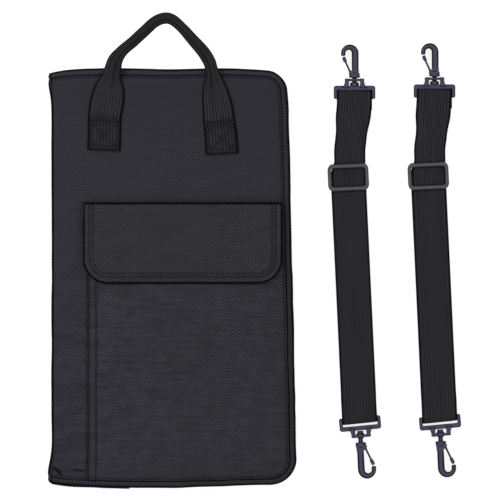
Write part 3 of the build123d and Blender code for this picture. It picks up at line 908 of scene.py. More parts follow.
def make_edge_trim(name, turned, body, base, normal, run):
    """Seam binding in the seam, zipper tape, zipper teeth and the topstitching."""
    angles = np.linspace(0, 2 * math.pi, 9)[:-1]
    cord = np.stack([SEAM + 0.55 * np.cos(angles), 30.75 + 0.5 * np.sin(angles)], -1)
    form = Form()
    add_ring_sweep(form, swept_edge(base, normal, cord, turned), cord, run)
    binding = form.make(f"{name}_seam_binding", BINDING, "binding")
    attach(binding, body)
    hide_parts(f"{name}_binding")

    flat = np.array([(6.95, 21.2), (6.9, 19.4), (6.85, 17.5), (7.0, 17.2), (7.5, 17.2), (7.65, 17.5),
                     (7.65, 19.4), (7.7, 21.2)])
    form = Form()
    add_ring_sweep(form, swept_edge(base, normal, flat, turned), flat, run)
    tape = form.make(f"{name}_zipper_tape_cloth", TAPE, "zipper_tape")
    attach(tape, body)
    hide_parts(f"{name}_zipper_tape")

    teeth = Form()
    line = base - TEETH_INSET * normal
    length = run_of(line)
    at = np.arange(2.0 + (TEETH_PITCH / 2 if turned else 0), length[-1] - 2, TEETH_PITCH)
    spot = np.stack([np.interp(at, length, line[:, k]) for k in range(2)], -1)
    out = np.stack([np.interp(at, length, normal[:, k]) for k in range(2)], -1)
    base_points, quads, ends = capsule(2.3, 0.85, 1.1)
    z = MID_Z + (-0.75 if turned else 0.75) + base_points[:, 0]
    side = np.stack([-out[:, 1], out[:, 0]], -1)
    plan = spot[:, None] + base_points[None, :, 1:2] * side[:, None] + base_points[None, :, 2:] * out[:, None]
    points = np.concatenate([plan, np.broadcast_to(z, plan.shape[:2])[..., None]], -1)
    add_capsules(teeth, points, quads, ends)
    coil = teeth.make(f"{name}_zipper_teeth", TEETH, "zipper_coil")
    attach(coil, body)
    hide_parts(f"{name}_zipper_coil")

    sewing = Form()
    plan = base - (SEAM + TOPSTITCH) * normal
    up = -1 if turned else 1
    sew_on(sewing, back_height if turned else front_height, *plan.T, up=up, lift=0.12)
    plan = base - GUSSET_STITCH * normal
    height = np.full(len(plan), 2 * MID_Z - SHOULDER_Z if turned else SHOULDER_Z)
    slope = np.column_stack([normal * 0.45, np.full(len(normal), 0.9 * up)])
    add_stitches(sewing, np.column_stack([plan, height]), slope, lift=0.1)
    thread = sewing.make(f"{name}_seam_stitching", THREAD, "outer_cloth")
    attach(thread, body)


def make_end_cover():
    """The cloth patch sewn over the bottom end of the zipper."""
    low, high = box_mm("zipper_end_cover")
    x = graded(low[0], high[0], 0.7, 3, zone=2)[:, None] * (high[0] - low[0]) + low[0]
    z = np.linspace(low[2], high[2] + 3.2, 12)[None, :]
    edge = np.minimum(np.minimum(x - low[0], high[0] - x) / 2.2, 1)
    puff = 0.3 * smooth(edge) + 0.2 * noise(x, z, (11, 6), 51)
    lean = smooth((z - high[2] + 1) / 5)
    outer = np.stack(np.broadcast_arrays(x, low[1] - 0.2 - puff + lean, z), -1)
    inner = outer + [0, 1.0, 0]
    # Painted shade: the whole patch is darkened three quarters of the way to near black, as shade on this
    # side of the bag.
    form = shell(outer, inner, x, z, 0.75)
    patch = form.make("zipper_end_cover_cloth", CLOTH, "outer_cloth")
    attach(patch, "front_half")
    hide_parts("zipper_end_cover")
    sewing = Form()
    side = np.array([(high[0] - 2.4, low[1] - 0.6, z) for z in np.linspace(low[2] + 0.5, high[2] + 2, 8)])
    add_stitches(sewing, side, (0, -1, 0), pitch=2.8, length=2.1)
    thread = sewing.make("zipper_end_cover_stitching", THREAD, "outer_cloth")
    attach(thread, "front_half")


# ---------------------------------------------------------------- pocket and flap
POCKET_CLOTH = 1.0
HEM_LINES = (1.9, 10.2)  # the pocket's two hem stitches, from its left edge
pocket_low, pocket_high = box_mm("pocket_panel")
flap_low, flap_high = box_mm("pocket_flap")
FLAP_CORNER = 28
FLAP_THICK = 1.7
FLAP_LINES = (7.0, 11.0)  # insets of the flap's two rows of topstitching
THREAD_LIFT = 0.14  # how far topstitching stands out of thick cloth


def pocket_height(x, y):
    distance = inset_of(x, y) - SEAM
    from_left = x - pocket_low[0]
    room = 4.0 * (1 - np.exp(-np.maximum(from_left - 10.5, 0) / 13))
    room = room * (1 - np.exp(-np.maximum(distance - 3.2, 0) / 13))
    roll = np.minimum(seam_roll(distance), 2.6)
    hem = sum(0.6 * groove(from_left - line, 0.8) for line in HEM_LINES)
    hem_fold = 0.5 * smooth(11.2 - from_left)
    wave = slow_waves(x, y, 27, 0.55) + edge_pucker(x, y, distance, 29, 0.5, 11)
    wave = wave + 0.35 * noise(x, y, (9, 6), 31) * np.exp(-np.abs(from_left - 9) / 9)
    fade = smooth(from_left / 14)
    base = FRONT_Z + 0.75 + 1.0 * (1 - np.exp(-np.maximum(distance, 0) / 45)) - roll
    return base + POCKET_CLOTH + room + hem_fold - hem + wave * (0.35 + 0.65 * fade)


def pocket_slack(from_left, y):
    """How far the pocket's free left edge wanders."""
    return 0.5 * noise(y, y, (30, 30), 33) * np.exp(-from_left / 8)


def make_pocket():
    across = graded(0, 230, 0.55, 2.6, zone=4)
    low_y = -HALF_HEIGHT + SEAM + 0.3
    y = low_y + graded(0, 304, 0.6, 2.6, zone=4)[:, None] * (pocket_high[1] - low_y)
    right = side_x(y, SEAM + 0.3)
    x = pocket_low[0] + across[None, :] * (right - pocket_low[0])
    x = x + pocket_slack(x - pocket_low[0], y)
    y = y + 0 * x
    outer = np.stack([x, y, pocket_height(x, y)], -1)
    inner = outer - [0, 0, POCKET_CLOTH]
    inner[..., 2] = np.maximum(inner[..., 2], front_height(x, y) + 0.15)
    # Painted shade: darker in the seam's grooves, along the pocket's free left edge and in its two hem stitch
    # lines.
    dark = seam_shade(inset_of(x, y) - SEAM)
    from_left = x - pocket_low[0]
    dark = np.maximum(dark, 0.9 * groove(from_left, 0.9))
    for line in HEM_LINES:
        dark = np.maximum(dark, 0.85 * groove(from_left - line, 0.95))
    form = shell(outer, inner, x, y, dark)
    pocket = form.make("pocket_cloth", POCKET, "outer_cloth")
    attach(pocket, "front_half")
    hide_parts("pocket_panel")
    sewing = Form()
    line_y = np.linspace(low_y + 2, pocket_high[1] - 2, 140)
    for line in HEM_LINES:
        line_x = pocket_low[0] + line + pocket_slack(line, line_y)
        sew_on(sewing, pocket_height, line_x, line_y, lift=THREAD_LIFT)
    line_x = np.linspace(pocket_low[0] + 3, pocket_high[0] - 6, 120)
    sew_on(sewing, pocket_height, line_x, pocket_high[1] - 12, lift=0.1)
    base, normal, _ = outline(pocket_low[0] + 3, 2.6)
    plan = base - (SEAM + TOPSTITCH) * normal
    plan = plan[(plan[:, 1] < pocket_high[1]) & ((plan[:, 1] < 0) | (plan[:, 0] > 100))]
    sew_on(sewing, pocket_height, *plan.T, lift=THREAD_LIFT)
    thread = sewing.make("pocket_stitching", THREAD, "outer_cloth")
    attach(thread, "front_half")


def flap_inset(x, y):
    """Distance inside the flap's left, bottom and right edges."""
    inset = np.minimum(np.minimum(x - flap_low[0], flap_high[0] - x), y - flap_low[1])
    for centre_x, sign in ((flap_low[0] + FLAP_CORNER, -1), (flap_high[0] - FLAP_CORNER, 1)):
        centre_y = flap_low[1] + FLAP_CORNER
        beyond = (sign * (x - centre_x) > 0) & (y < centre_y)
        inset = np.where(beyond, FLAP_CORNER - np.hypot(x - centre_x, y - centre_y), inset)
    return inset


def flap_height(x, y):
    """Top of the flap where it lies over the pocket."""
    inset = flap_inset(x, y)
    droop = 1.7 * np.exp(-np.maximum(inset, 0) / 10) + 0.8 * smooth((-40 - x) / 55)
    lines = sum(0.55 * groove(inset - line, 0.8) for line in FLAP_LINES)
    edge = 0.35 * groove(inset - 1.4, 1.4)
    wave = slow_waves(x, y, 37, 0.5) + 0.3 * noise(x, y, (9, 9), 39) * np.exp(-np.maximum(inset - 7, 0) / 8)
    return flap_high[2] - 0.2 - droop - lines + edge + wave * smooth((flap_high[1] - y) / 12)


# The flap's root from its seam, as (way up the bag, height), before the flap lies on the pocket.
ROOT_RUN = [(0.2, 0.9), (0.35, 3.0), (0.0, 6.0), (-1.3, 8.3), (-4.0, 9.3)]


def flap_slack(x, y):
    """How far the flap's free left edge wanders out."""
    return 0.7 * noise(y, y, (26, 26), 43) * np.exp(-(x - flap_low[0]) / 10)


def make_flap():
    root = spline(ROOT_RUN, 0.6)
    top_y = flap_high[1]
    lower = graded(0, 88, 0.6, 2.4, fine_start=False, zone=5)[1:]
    start_y = top_y + root[-1, 0]
    y_line = np.concatenate([top_y + root[:, 0], start_y - lower * (start_y - flap_low[1])])
    across = graded(0, 226, 0.6, 2.5, zone=5)
    drop = np.maximum(flap_low[1] + FLAP_CORNER - y_line, 0)
    cut = FLAP_CORNER - np.sqrt(np.maximum(FLAP_CORNER**2 - drop**2, 0))
    left, right = flap_low[0] + cut, flap_high[0] - cut
    x = left[:, None] + across[None, :] * (right - left)[:, None]
    y = y_line[:, None] + 0 * x
    x = x - flap_slack(x, y)
    ground = front_height(x, np.full_like(x, top_y))
    share = np.concatenate([np.clip((root[:, 1] - 0.9) / (root[-1, 1] - 0.9), 0, 1), np.ones(len(lower))])
    end_z = flap_height(x, np.minimum(y, start_y))
    z = (ground + 0.9) * (1 - share[:, None]) + end_z * share[:, None]
    outer = np.stack([x, y, z], -1)
    normal = normals_of(outer)
    normal = normal * np.sign(normal[..., 2:].mean() or 1)
    inner = outer - FLAP_THICK * normal
    length = np.concatenate([[0], np.cumsum(np.hypot(np.diff(y_line), np.diff(z[:, z.shape[1] // 2])))])
    rim = flap_inset(x, y)
    # Painted shade: darker in the two topstitch lines, and near black round the flap's edge and along the
    # fold at its top.
    dark = sum(0.8 * groove(rim - line, 0.9) for line in FLAP_LINES) + 1.2 * smooth((2.3 - rim) / 1.2)
    dark = np.maximum(dark, smooth((y - top_y + 3.0) / 1.2))
    form = shell(outer, inner, x, length[:, None], np.clip(dark, 0, 1))
    flap = form.make("flap_cloth", FLAP_CLOTH, "outer_cloth")
    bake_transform(flap)
    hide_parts("pocket_flap", "flap_root")
    make_flap_edge_binding_and_shadow()
    sewing = Form()
    for line in FLAP_LINES:
        sew_on(sewing, flap_height, *flap_line(line, top_y - 8).T, lift=THREAD_LIFT)
    sew_on(sewing, flap_height, np.linspace(flap_low[0] + 12, flap_high[0] - 12, 90), top_y - 9, lift=0.1)
    thread = sewing.make("flap_stitching", THREAD, "outer_cloth")
    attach(thread, "flap")


def flap_line(offset, top):
    """The flap's outline at an inset, from its top left corner round to its top right."""
    corner = FLAP_CORNER - offset
    turn = np.linspace(math.pi, 1.5 * math.pi, 16)
    low_y = flap_low[1] + FLAP_CORNER
    lx, rx = flap_low[0] + FLAP_CORNER, flap_high[0] - FLAP_CORNER
    points = [(flap_low[0] + offset, v) for v in np.linspace(top, low_y, 24)[:-1]]
    points += [(lx + corner * math.cos(a), low_y + corner * math.sin(a)) for a in turn]
    points += [(v, flap_low[1] + offset) for v in np.linspace(lx, rx, 60)[1:-1]]
    points += [(rx - corner * math.cos(a), low_y + corner * math.sin(a)) for a in turn[::-1]]
    points += [(flap_high[0] - offset, v) for v in np.linspace(low_y, top, 24)[1:]]
    return np.array(points)


def make_flap_edge_binding_and_shadow():
    """The narrow near-black binding along the flap's edge: partly the bound edge, partly painted shadow for
    the gap under the flap.
    """
    plan = flap_line(0.3, flap_high[1] - 3)
    plan[:, 0] -= flap_slack(*plan.T)
    path = np.column_stack([plan, flap_height(*plan.T) - 1.2])
    side, up = plan_frames(path)
    form = Form()
    add_sweep(form, path, side, up, rounded_strip(1.7, 1.8, 5))
    edge = form.make("flap_edge_binding_and_shadow", EDGE_BINDING_AND_SHADOW, "binding")
    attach(edge, "flap")


def make_pile(name, node, body, up):
    """A strip of hook-and-loop with a soft, uneven pile."""
    low, high = box_mm(node)
    x = np.linspace(low[0] + 0.3, high[0] - 0.3, 180)[None, :]
    y = np.linspace(low[1] + 0.3, high[1] - 0.3, 34)[:, None]
    xx, yy = np.broadcast_arrays(x, y)
    edge = np.minimum(np.minimum(xx - low[0], high[0] - xx), np.minimum(yy - low[1], high[1] - yy))
    pile = (high[2] - low[2]) * (0.75 + 0.18 * noise(xx, yy, (1.7, 1.7), 61)) * smooth(edge / 1.2 + 0.35)
    base = np.full_like(xx, low[2] if up else high[2]) + (0.02 if up else -0.02)
    outer = np.stack([xx, yy, base + (pile if up else -pile)], -1)
    inner = np.stack([xx, yy, base], -1)
    form = shell(outer, inner, xx, yy)
    strip = form.make(name, PILE, "hook_and_loop")
    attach(strip, body)
    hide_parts(node)


# ---------------------------------------------------------------- inside
LINING_INSET = 1.4  # inside the panel's seam
LINING_TOP = 30.1
SLEEVES = 3
sleeve_low, sleeve_high = box_mm("stick_sleeves")
inner_low, inner_high = box_mm("accessory_pocket")


def make_linings():
    for name, turned in (("front", False), ("back", True)):
        low = box_mm(f"{name}_lining")[0]
        along = 2 * graded(-230, 230, 1.2, 4.5, zone=6) - 1
        across = graded(0, 264, 1.2, 4.5, zone=6)
        y = along[:, None] * (HALF_HEIGHT - SEAM - LINING_INSET)
        right = side_x(y, SEAM + LINING_INSET)
        x = low[0] + 0.4 + across[None, :] * (right - low[0] - 0.4)
        y = y + 0 * x
        distance = np.minimum(inset_of(x, y) - SEAM - LINING_INSET, x - low[0])
        z = 28.9 + 1.3 * np.exp(-np.maximum(distance, 0) / 2.5) + 0.35 * slow_waves(x, y, 77, 0.5)
        z = np.minimum(z, LINING_TOP)
        outer = np.stack([x, y, z - 0.35], -1)
        inner = np.stack([x, y, z], -1)
        if turned:
            outer, inner = flip(outer), flip(inner)
        form = shell(outer, inner, x, y)
        sheet = form.make(f"{name}_lining_cloth", INNER_CLOTH, "inner_cloth")
        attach(sheet, f"{name}_half")
        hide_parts(f"{name}_lining")


def sleeve_height(x, y):
    low, high = sleeve_low, sleeve_high
    a = (x - low[0]) / (high[0] - low[0]) * SLEEVES
    arch = np.abs(np.sin(math.pi * a)) ** 0.6
    foot = 1 - np.exp(-np.maximum(y - low[1], 0) / 13)
    wave = 0.6 * noise(x, y, (17, 34), 81) + 0.35 * noise(x, y, (6, 13), 82)
    return low[2] + 0.75 + (6.2 * foot + wave * foot) * arch


def make_sleeves():
    low, high = sleeve_low, sleeve_high
    x = (low[0] + np.linspace(0, 1, 121) * (high[0] - low[0]))[None, :]
    y = low[1] + graded(0, 332, 0.9, 3.5, zone=5)[:, None] * (high[1] - low[1])
    x, y = x + 0 * y, y + 0 * x
    outer = np.stack([x, y, sleeve_height(x, y)], -1)
    inner = outer - [0, 0, 0.7]
    form = shell(outer, inner, x, y)
    sleeves = form.make("stick_sleeve_cloth", SLEEVE_CLOTH, "inner_cloth")
    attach(sleeves, "back_half")
    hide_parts("stick_sleeves")
    path = np.stack([x[-1], np.full_like(x[-1], high[1] - 4), outer[-1, :, 2]], -1)
    up = np.cross(unit(np.gradient(path, axis=0)), [0.0, -1.0, 0.0])
    up *= np.sign(up[:, 2:])
    form = Form()
    add_sweep(form, path, (0, 1, 0), up, rounded_strip(9.0, 1.5, 9))
    binding = form.make("sleeve_top_binding", BINDING, "binding")
    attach(binding, "back_half")
    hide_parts("sleeve_binding")
    sewing = Form()
    for k in range(SLEEVES + 1):
        at = low[0] + (high[0] - low[0]) * k / SLEEVES
        at += 1.0 if k == 0 else -1.0 if k == SLEEVES else 0
        sew_on(sewing, sleeve_height, at, np.linspace(low[1] + 2, high[1] - 9, 120), lift=0.15)
    sew_on(sewing, sleeve_height, np.linspace(low[0] + 1, high[0] - 1, 120), low[1] + 1.2)
    thread = sewing.make("sleeve_stitching", THREAD, "inner_cloth")
    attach(thread, "back_half")


def inner_pocket_height(x, y):
    low, high = inner_low, inner_high
    side = np.minimum(x - low[0], high[0] - x)
    belly = (1 - np.exp(-np.maximum(side, 0) / 12)) * (1 - np.exp(-np.maximum(y - low[1], 0) / 12))
    wave = 0.5 * noise(x, y, (26, 19), 91) * belly
    return high[2] - 0.9 - 4.2 * belly - wave


def make_inner_pocket():
    low, high = inner_low, inner_high
    x = (low[0] + graded(0, 216, 1.0, 4, zone=5) * (high[0] - low[0]))[None, :]
    y = low[1] + graded(0, 218, 1.0, 4, zone=5)[:, None] * (high[1] - low[1])
    x, y = x + 0 * y, y + 0 * x
    z = inner_pocket_height(x, y)
    outer = np.stack([x, y, z], -1)
    inner = outer + [0, 0, 0.7]
    form = shell(outer, inner, x, y)
    pocket = form.make("accessory_pocket_cloth", SLEEVE_CLOTH, "inner_cloth")
    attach(pocket, "front_half")
    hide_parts("accessory_pocket")
    path = np.stack([x[-1], np.full(x.shape[1], high[1] - 3), z[-1]], -1)
    form = Form()
    add_sweep(form, path, (0, 1, 0), (0, 0, -1), rounded_strip(8.0, 1.4, 9))
    binding = form.make("accessory_pocket_binding", BINDING, "binding")
    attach(binding, "front_half")
    sewing = Form()
    for at in (low[0] + 1.5, high[0] - 1.5):
        sew_on(sewing, inner_pocket_height, at, np.linspace(low[1] + 2, high[1] - 8, 80), up=-1)
    sew_on(sewing, inner_pocket_height, np.linspace(low[0] + 1, high[0] - 1, 80), low[1] + 1.5, up=-1)
    thread = sewing.make("accessory_pocket_stitching", THREAD, "inner_cloth")
    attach(thread, "front_half")


# ---------------------------------------------------------------- handle
HANDLE_COLUMNS = 97  # points across the top of the handle's webbing
HANDLE_CORDS = 10  # ribs across it
CREASES = (0.22, -0.45)  # where the gathered webbing is creased, from -1 to 1 across it
# Centre line of the handle's webbing with its width and thickness: up from the left box,
# over the grip and down to the right box.
HANDLE_LINE = [
    (-77.6, 145.6, 38, 1.6), (-77.0, 165, 38, 1.6), (-76.6, 184, 38, 1.7), (-73.6, 203, 38.5, 2.0),
    (-71.2, 218, 33, 2.6), (-69.2, 230, 21, 3.8), (-67.2, 240, 19, 4.6), (-64.4, 249, 17, 4.8),
    (-56.5, 258.5, 13.5, 5.0), (-44.6, 269.2, 13, 5.0), (-30, 283, 13, 5.0), (-19.6, 291.8, 13, 5.0),
    (-9, 296, 13.2, 5.0), (0.5, 294.2, 12.8, 5.0), (11.5, 284.6, 12.2, 5.0), (26.0, 269.0, 13.6, 5.0),
    (36.4, 256.6, 14.6, 5.0), (42.6, 246.6, 14.6, 4.9), (44.6, 240, 14.4, 4.6), (46.4, 231, 16, 3.8),
    (48.4, 217, 27, 2.6), (51.2, 199, 33.5, 2.0), (53.6, 181, 36, 1.7), (55.6, 163, 37, 1.6),
    (57.0, 141.5, 38, 1.6),
]


def handle_line():
    """Sampled centre line: points, width and thickness of the webbing."""
    line = spline(HANDLE_LINE, 2.0)
    x, y, width, thick = line.T
    surface = front_height(x, np.minimum(y, HALF_HEIGHT - SEAM - 6))
    lie = surface + 0.35 + thick / 2
    grip = box_mm("front_handle")[0][2] + 2.4
    z = lie + (grip - lie) * smooth((y - 216) / 26)
    return np.column_stack([x, y, z]), width, thick


def gathered(width):
    """How far the handle's webbing is gathered, from 0 where it lies flat to 1 in the grip."""
    return 1 - smooth((width - 19) / 17)


def handle_profile(width, thick):
    """Webbing laid flat is ribbed and thin; where it is gathered to a grip its edges curl under."""
    a = np.linspace(-1, 1, HANDLE_COLUMNS)
    fold = gathered(width)
    round_off = (1 - np.abs(a) ** (8 - 4.5 * fold)) ** 0.5
    ribs = 0.14 * np.cos(a * HANDLE_CORDS * math.pi) * (1 - np.abs(a) ** 8)
    crease = 0.5 * fold * groove(a - CREASES[0], 0.10) + 0.3 * fold * groove(a - CREASES[1], 0.09)
    top = thick / 2 * round_off + ribs - crease
    bottom = -thick / 2 * round_off + ribs * 0.5
    upper = np.stack([a * width / 2, top], -1)
    lower = np.stack([a[::-1] * width / 2, bottom[::-1]], -1)[1:-1]
    return np.concatenate([upper, lower])


BOX_FOOT, BOX_HEAD, BOX_HALF = 3.5, 31.0, 15.0


def box_seams(length):
    """The sewn boxes at the handle's two ends, as lines between (across, distance along) pairs."""
    seams = []
    for foot, head, on in ((BOX_FOOT, BOX_HEAD, 4.0), (length - BOX_FOOT, length - BOX_HEAD, -4.0)):
        corners = [(-BOX_HALF, foot), (BOX_HALF, foot), (BOX_HALF, head), (-BOX_HALF, head)]
        seams += [(corners[k], corners[(k + 1) % 4]) for k in range(4)]
        seams += [(corners[0], corners[2]), (corners[1], corners[3])]
        seams += [((-17, head + t * on), (17, head + t * on)) for t in (1.0, 1.6)]
    return seams


def distance_to(points, a, b):
    """Distance from points of a plane to the line between a and b."""
    a, b = np.asarray(a, float), np.asarray(b, float)
    share = np.clip(((points - a) @ (b - a)) / ((b - a) @ (b - a)), 0, 1)
    return np.linalg.norm(points - a - share[..., None] * (b - a), axis=-1)


def make_handle():
    path, width, thick = handle_line()
    side, up = plan_frames(path)
    run = run_of(path)
    path = path + side * (0.35 * noise(run, 0, (17, 50), 101))[:, None]
    profile = np.array([handle_profile(w, t) for w, t in zip(width, thick)])
    form = Form(None)
    share = profile[..., 0] / width[:, None]
    folded = gathered(width)[:, None]
    # Painted shade: near black along both edges, and darker in the gathered grip's creases and on one side of
    # it, at the two ends and in the sewn boxes' stitch lines.
    dark = smooth((np.abs(share) - 0.435) / 0.018)
    creases = 0.8 * groove(share - CREASES[0] / 2, 0.04) + 0.6 * groove(share - CREASES[1] / 2, 0.035)
    dark = dark + folded * creases
    dark = dark + 0.3 * folded * smooth((share + 0.1) / 0.6)
    from_end = np.minimum(run, run[-1] - run)[:, None] + 0 * share
    dark = dark + 0.9 * smooth((2.0 - from_end) / 1.2)
    flat = np.stack([profile[..., 0], np.broadcast_to(run[:, None], share.shape)], -1)
    for a, b in box_seams(run[-1]):
        dark = dark + 0.95 * groove(distance_to(flat, a, b), 1.1) * (profile[..., 1] > 0)
    points = add_sweep(form, path, side, up, profile, painted_shade=np.clip(dark, 0, 1))
    handle = form.make("handle_webbing_band", HANDLE_WEBBING, "handle_webbing")
    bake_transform(handle)
    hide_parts("front_handle", "handle_ends")
    top = points[:, :HANDLE_COLUMNS]
    sewing = Form(None)

    def place(across, distance):
        """A point on the webbing's top, from its distance across and along."""
        row = np.interp(distance, run, np.arange(len(run)))
        i = int(np.clip(row, 0, len(run) - 2))
        col = (across / width[i] + 0.5) * (HANDLE_COLUMNS - 1)
        j = int(np.clip(col, 0, HANDLE_COLUMNS - 2))
        fi, fj = row - i, col - j
        low = top[i, j] * (1 - fj) + top[i, j + 1] * fj
        high = top[i + 1, j] * (1 - fj) + top[i + 1, j + 1] * fj
        return low * (1 - fi) + high * fi

    for a, b in box_seams(run[-1]):
        line = [place(a[0] + (b[0] - a[0]) * t, a[1] + (b[1] - a[1]) * t) for t in np.linspace(0, 1, 26)]
        add_stitches(sewing, line, (0, 0, 1), pitch=3.1, length=2.3, width=0.8, height=0.5, lift=0.25)
    thread = sewing.make("handle_box_stitching", THREAD, "handle_webbing")
    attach(thread, "front_half")


# ---------------------------------------------------------------- rings on the back
def make_ring(name, node, body):
    """A D-ring: straight bar through its tab and a round bow."""
    low, high = box_mm(node)
    middle = (low + high) / 2
    bow_down = "top" in name
    radius = (high[0] - low[0]) / 2 - 1.3
    bar_y = high[1] - 1.1 if bow_down else low[1] + 1.1
    turn = -1 if bow_down else 1
    angles = np.linspace(0, math.pi, 25)
    bow = [(middle[0] - radius * math.cos(a), bar_y + turn * (radius - 0.4) * math.sin(a)) for a in angles]
    bar = [(middle[0] + radius * t, bar_y) for t in np.linspace(1, -1, 16)[1:-1]]
    line = np.array([(x, y, middle[2]) for x, y in bow + bar])
    tangent = unit(np.roll(line, -1, 0) - np.roll(line, 1, 0))
    side = np.stack([tangent[:, 1], -tangent[:, 0], 0 * tangent[:, 0]], -1)
    around = np.linspace(0, 2 * math.pi, 17)[:-1]
    thick = np.concatenate([np.full(len(bow), 1.25), np.full(len(bar), 1.05)])
    rings = line[:, None] + thick[:, None, None] * (
        np.cos(around)[None, :, None] * side[:, None] + np.sin(around)[None, :, None] * np.array([0, 0, 1.0])
    )
    rows, cols = rings.shape[:2]
    i, j = np.arange(rows)[:, None], np.arange(cols)[None, :]
    after_i, after_j = (i + 1) % rows, (j + 1) % cols
    faces = np.stack([i * cols + j, i * cols + after_j, after_i * cols + after_j, after_i * cols + j], -1)
    form = Form(None)
    form.add(rings.reshape(-1, 3), faces.reshape(-1, 4), np.zeros((rows * cols, 2)))
    ring = form.make(f"{name}_d_ring", BUCKLE, "ring_plastic")
    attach(ring, body)
    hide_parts(node)
    return middle[0], bar_y


def make_tab(name, x, bar_y, side):
    """The webbing tab that holds a ring: round the bar, then flat to the seam; side is +1 at the top."""
    curl = 2.2
    line = [(bar_y + side * 8.4, 2.9), (bar_y + side * 5, 3.1), (bar_y + side * 2.4, 3.45)]
    line += [(bar_y + curl * math.cos(a) * side, 2.05 + curl * 0.72 * math.sin(a))
             for a in np.linspace(0.55 * math.pi, 1.45 * math.pi, 12)]
    line += [(bar_y + side * 2.4, 0.75), (bar_y + side * 5, 1.5), (bar_y + side * 8.4, 2.35)]
    line = np.array(line)
    path = np.column_stack([np.full(len(line), x), line])
    up = np.cross(unit(np.gradient(path, axis=0)), [1.0, 0, 0])
    form = Form(None)
    add_sweep(form, path, (1, 0, 0), up, rounded_strip(24.4, 0.75, 49, ribs=10, depth=0.06))
    tab = form.make(f"{name}_ring_tab", WEBBING, "strap_webbing")
    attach(tab, "back_half")
    return tab


def make_rings():
    for name in ("top_left", "top_right", "bottom_left", "bottom_right"):
        x, bar_y = make_ring(name, f"{name}_ring", f"{name}_ring_body")
        make_tab(name, x, bar_y, 1 if "top" in name else -1)
    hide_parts("ring_tabs")


# ---------------------------------------------------------------- straps
RUN_LENGTH = 280.4  # adjuster to the lower base's bar
BEND = 30.0  # the run bends just beyond the adjuster's travel
MAIN_Z, RETURN_Z = 6.85, 2.35
WEB_WIDTH, WEB_THICK = 40.2, 1.3
LOOP_RADIUS = 2.4
# How far past the bar's own place each base sits, and how far the webbing's loop reaches, along its hook.
BASE_SHIFT = {"upper": 4.0, "lower": -3.6}
LOOP_REACH = {"upper": 10.6, "lower": -1.4}
END_SKEW = 0.055  # slope across the strap where it enters the lower base
HOOK_STRETCH = {"upper": 1.0, "lower": 1.1}
LOWER_BASE_TURN = math.radians(2.6)
SLIDE_BEFORE, SLIDE_AFTER = 46, 256  # the strap is flat this far on each side of the adjuster
SEWN_AT = (19.5, 22.0)  # the stitched lines' distances from the strap's upper end
PINCH = 4.4  # how much narrower the strap is between the upper base and the adjuster


def strap_path(points, wobble, seed, slide, down):
    """A strap's line, slightly wavy, but flat where the adjuster slides on it."""
    line = spline(points, 2.2)
    run = run_of(line[:, :3])
    ends = smooth(run / 25) * smooth((run[-1] - run) / 25)
    from_slide = (line[:, :2] - slide) @ down
    flat = smooth((from_slide + SLIDE_BEFORE) / 10) * smooth((SLIDE_AFTER - from_slide) / 10)
    ends = ends * (1 - 0.95 * flat)
    side, up = plan_frames(line)
    shift = wobble * ends * noise(run, 0, (55, 50), seed)
    lift = 0.8 * ends * noise(run, 5, (34, 50), seed + 1)
    line = line + side * shift[:, None]
    line[:, 2] += lift
    twist = 0.035 * ends * noise(run, 9, (45, 50), seed + 2)
    lean = up[None] * np.cos(twist)[:, None] + side * np.sin(twist)[:, None]
    across = side * np.cos(twist)[:, None] - up[None] * np.sin(twist)[:, None]
    return line, across, lean, run


def add_webbing(form, path, side, up, width=WEB_WIDTH, thick=WEB_THICK):
    strip = rounded_strip(1.0, thick, 133, ribs=12.5, depth=0.09)
    width = np.broadcast_to(width, len(path))
    profile = np.broadcast_to(strip, (len(path), *strip.shape)).copy()
    profile[..., 0] *= width[:, None]
    # Painted shade: the webbing's outermost edges are painted near black, as a dark outline.
    edge = smooth((np.abs(strip[:, 0]) - 0.443) / 0.014)
    return add_sweep(form, path, side, up, profile, painted_shade=edge)


def wrap_path(centre, direction, slack, tail):
    """Webbing turned round a bar, slack beyond it, and back underneath as far as tail."""
    turn = np.linspace(math.pi / 2, -math.pi / 2, 13)
    line = [(slack + LOOP_RADIUS * math.cos(a), math.sin(a)) for a in turn]
    line += [(t, -1) for t in np.linspace(slack, -tail, 7)[1:]]
    middle, half = (MAIN_Z + RETURN_Z) / 2, (MAIN_Z - RETURN_Z) / 2
    return np.array([(*(np.asarray(centre) + t * np.asarray(direction)), middle + half * h) for t, h in line])


def seam_across(form, points, row_at):
    """A line of stitches straight across a webbing, at a fractional row of its top side."""
    top = points[:, : (points.shape[1] + 2) // 2]
    i = int(np.clip(row_at, 0, len(top) - 2))
    f = row_at - i
    row = top[i] * (1 - f) + top[i + 1] * f
    cols = np.linspace(0.04, 0.96, 30) * (len(row) - 1)
    line = np.stack([np.interp(cols, np.arange(len(row)), row[:, k]) for k in range(3)], -1)
    add_stitches(form, line, (0, 0, 1), pitch=2.6, length=2.0, width=0.6, lift=THREAD_LIFT)


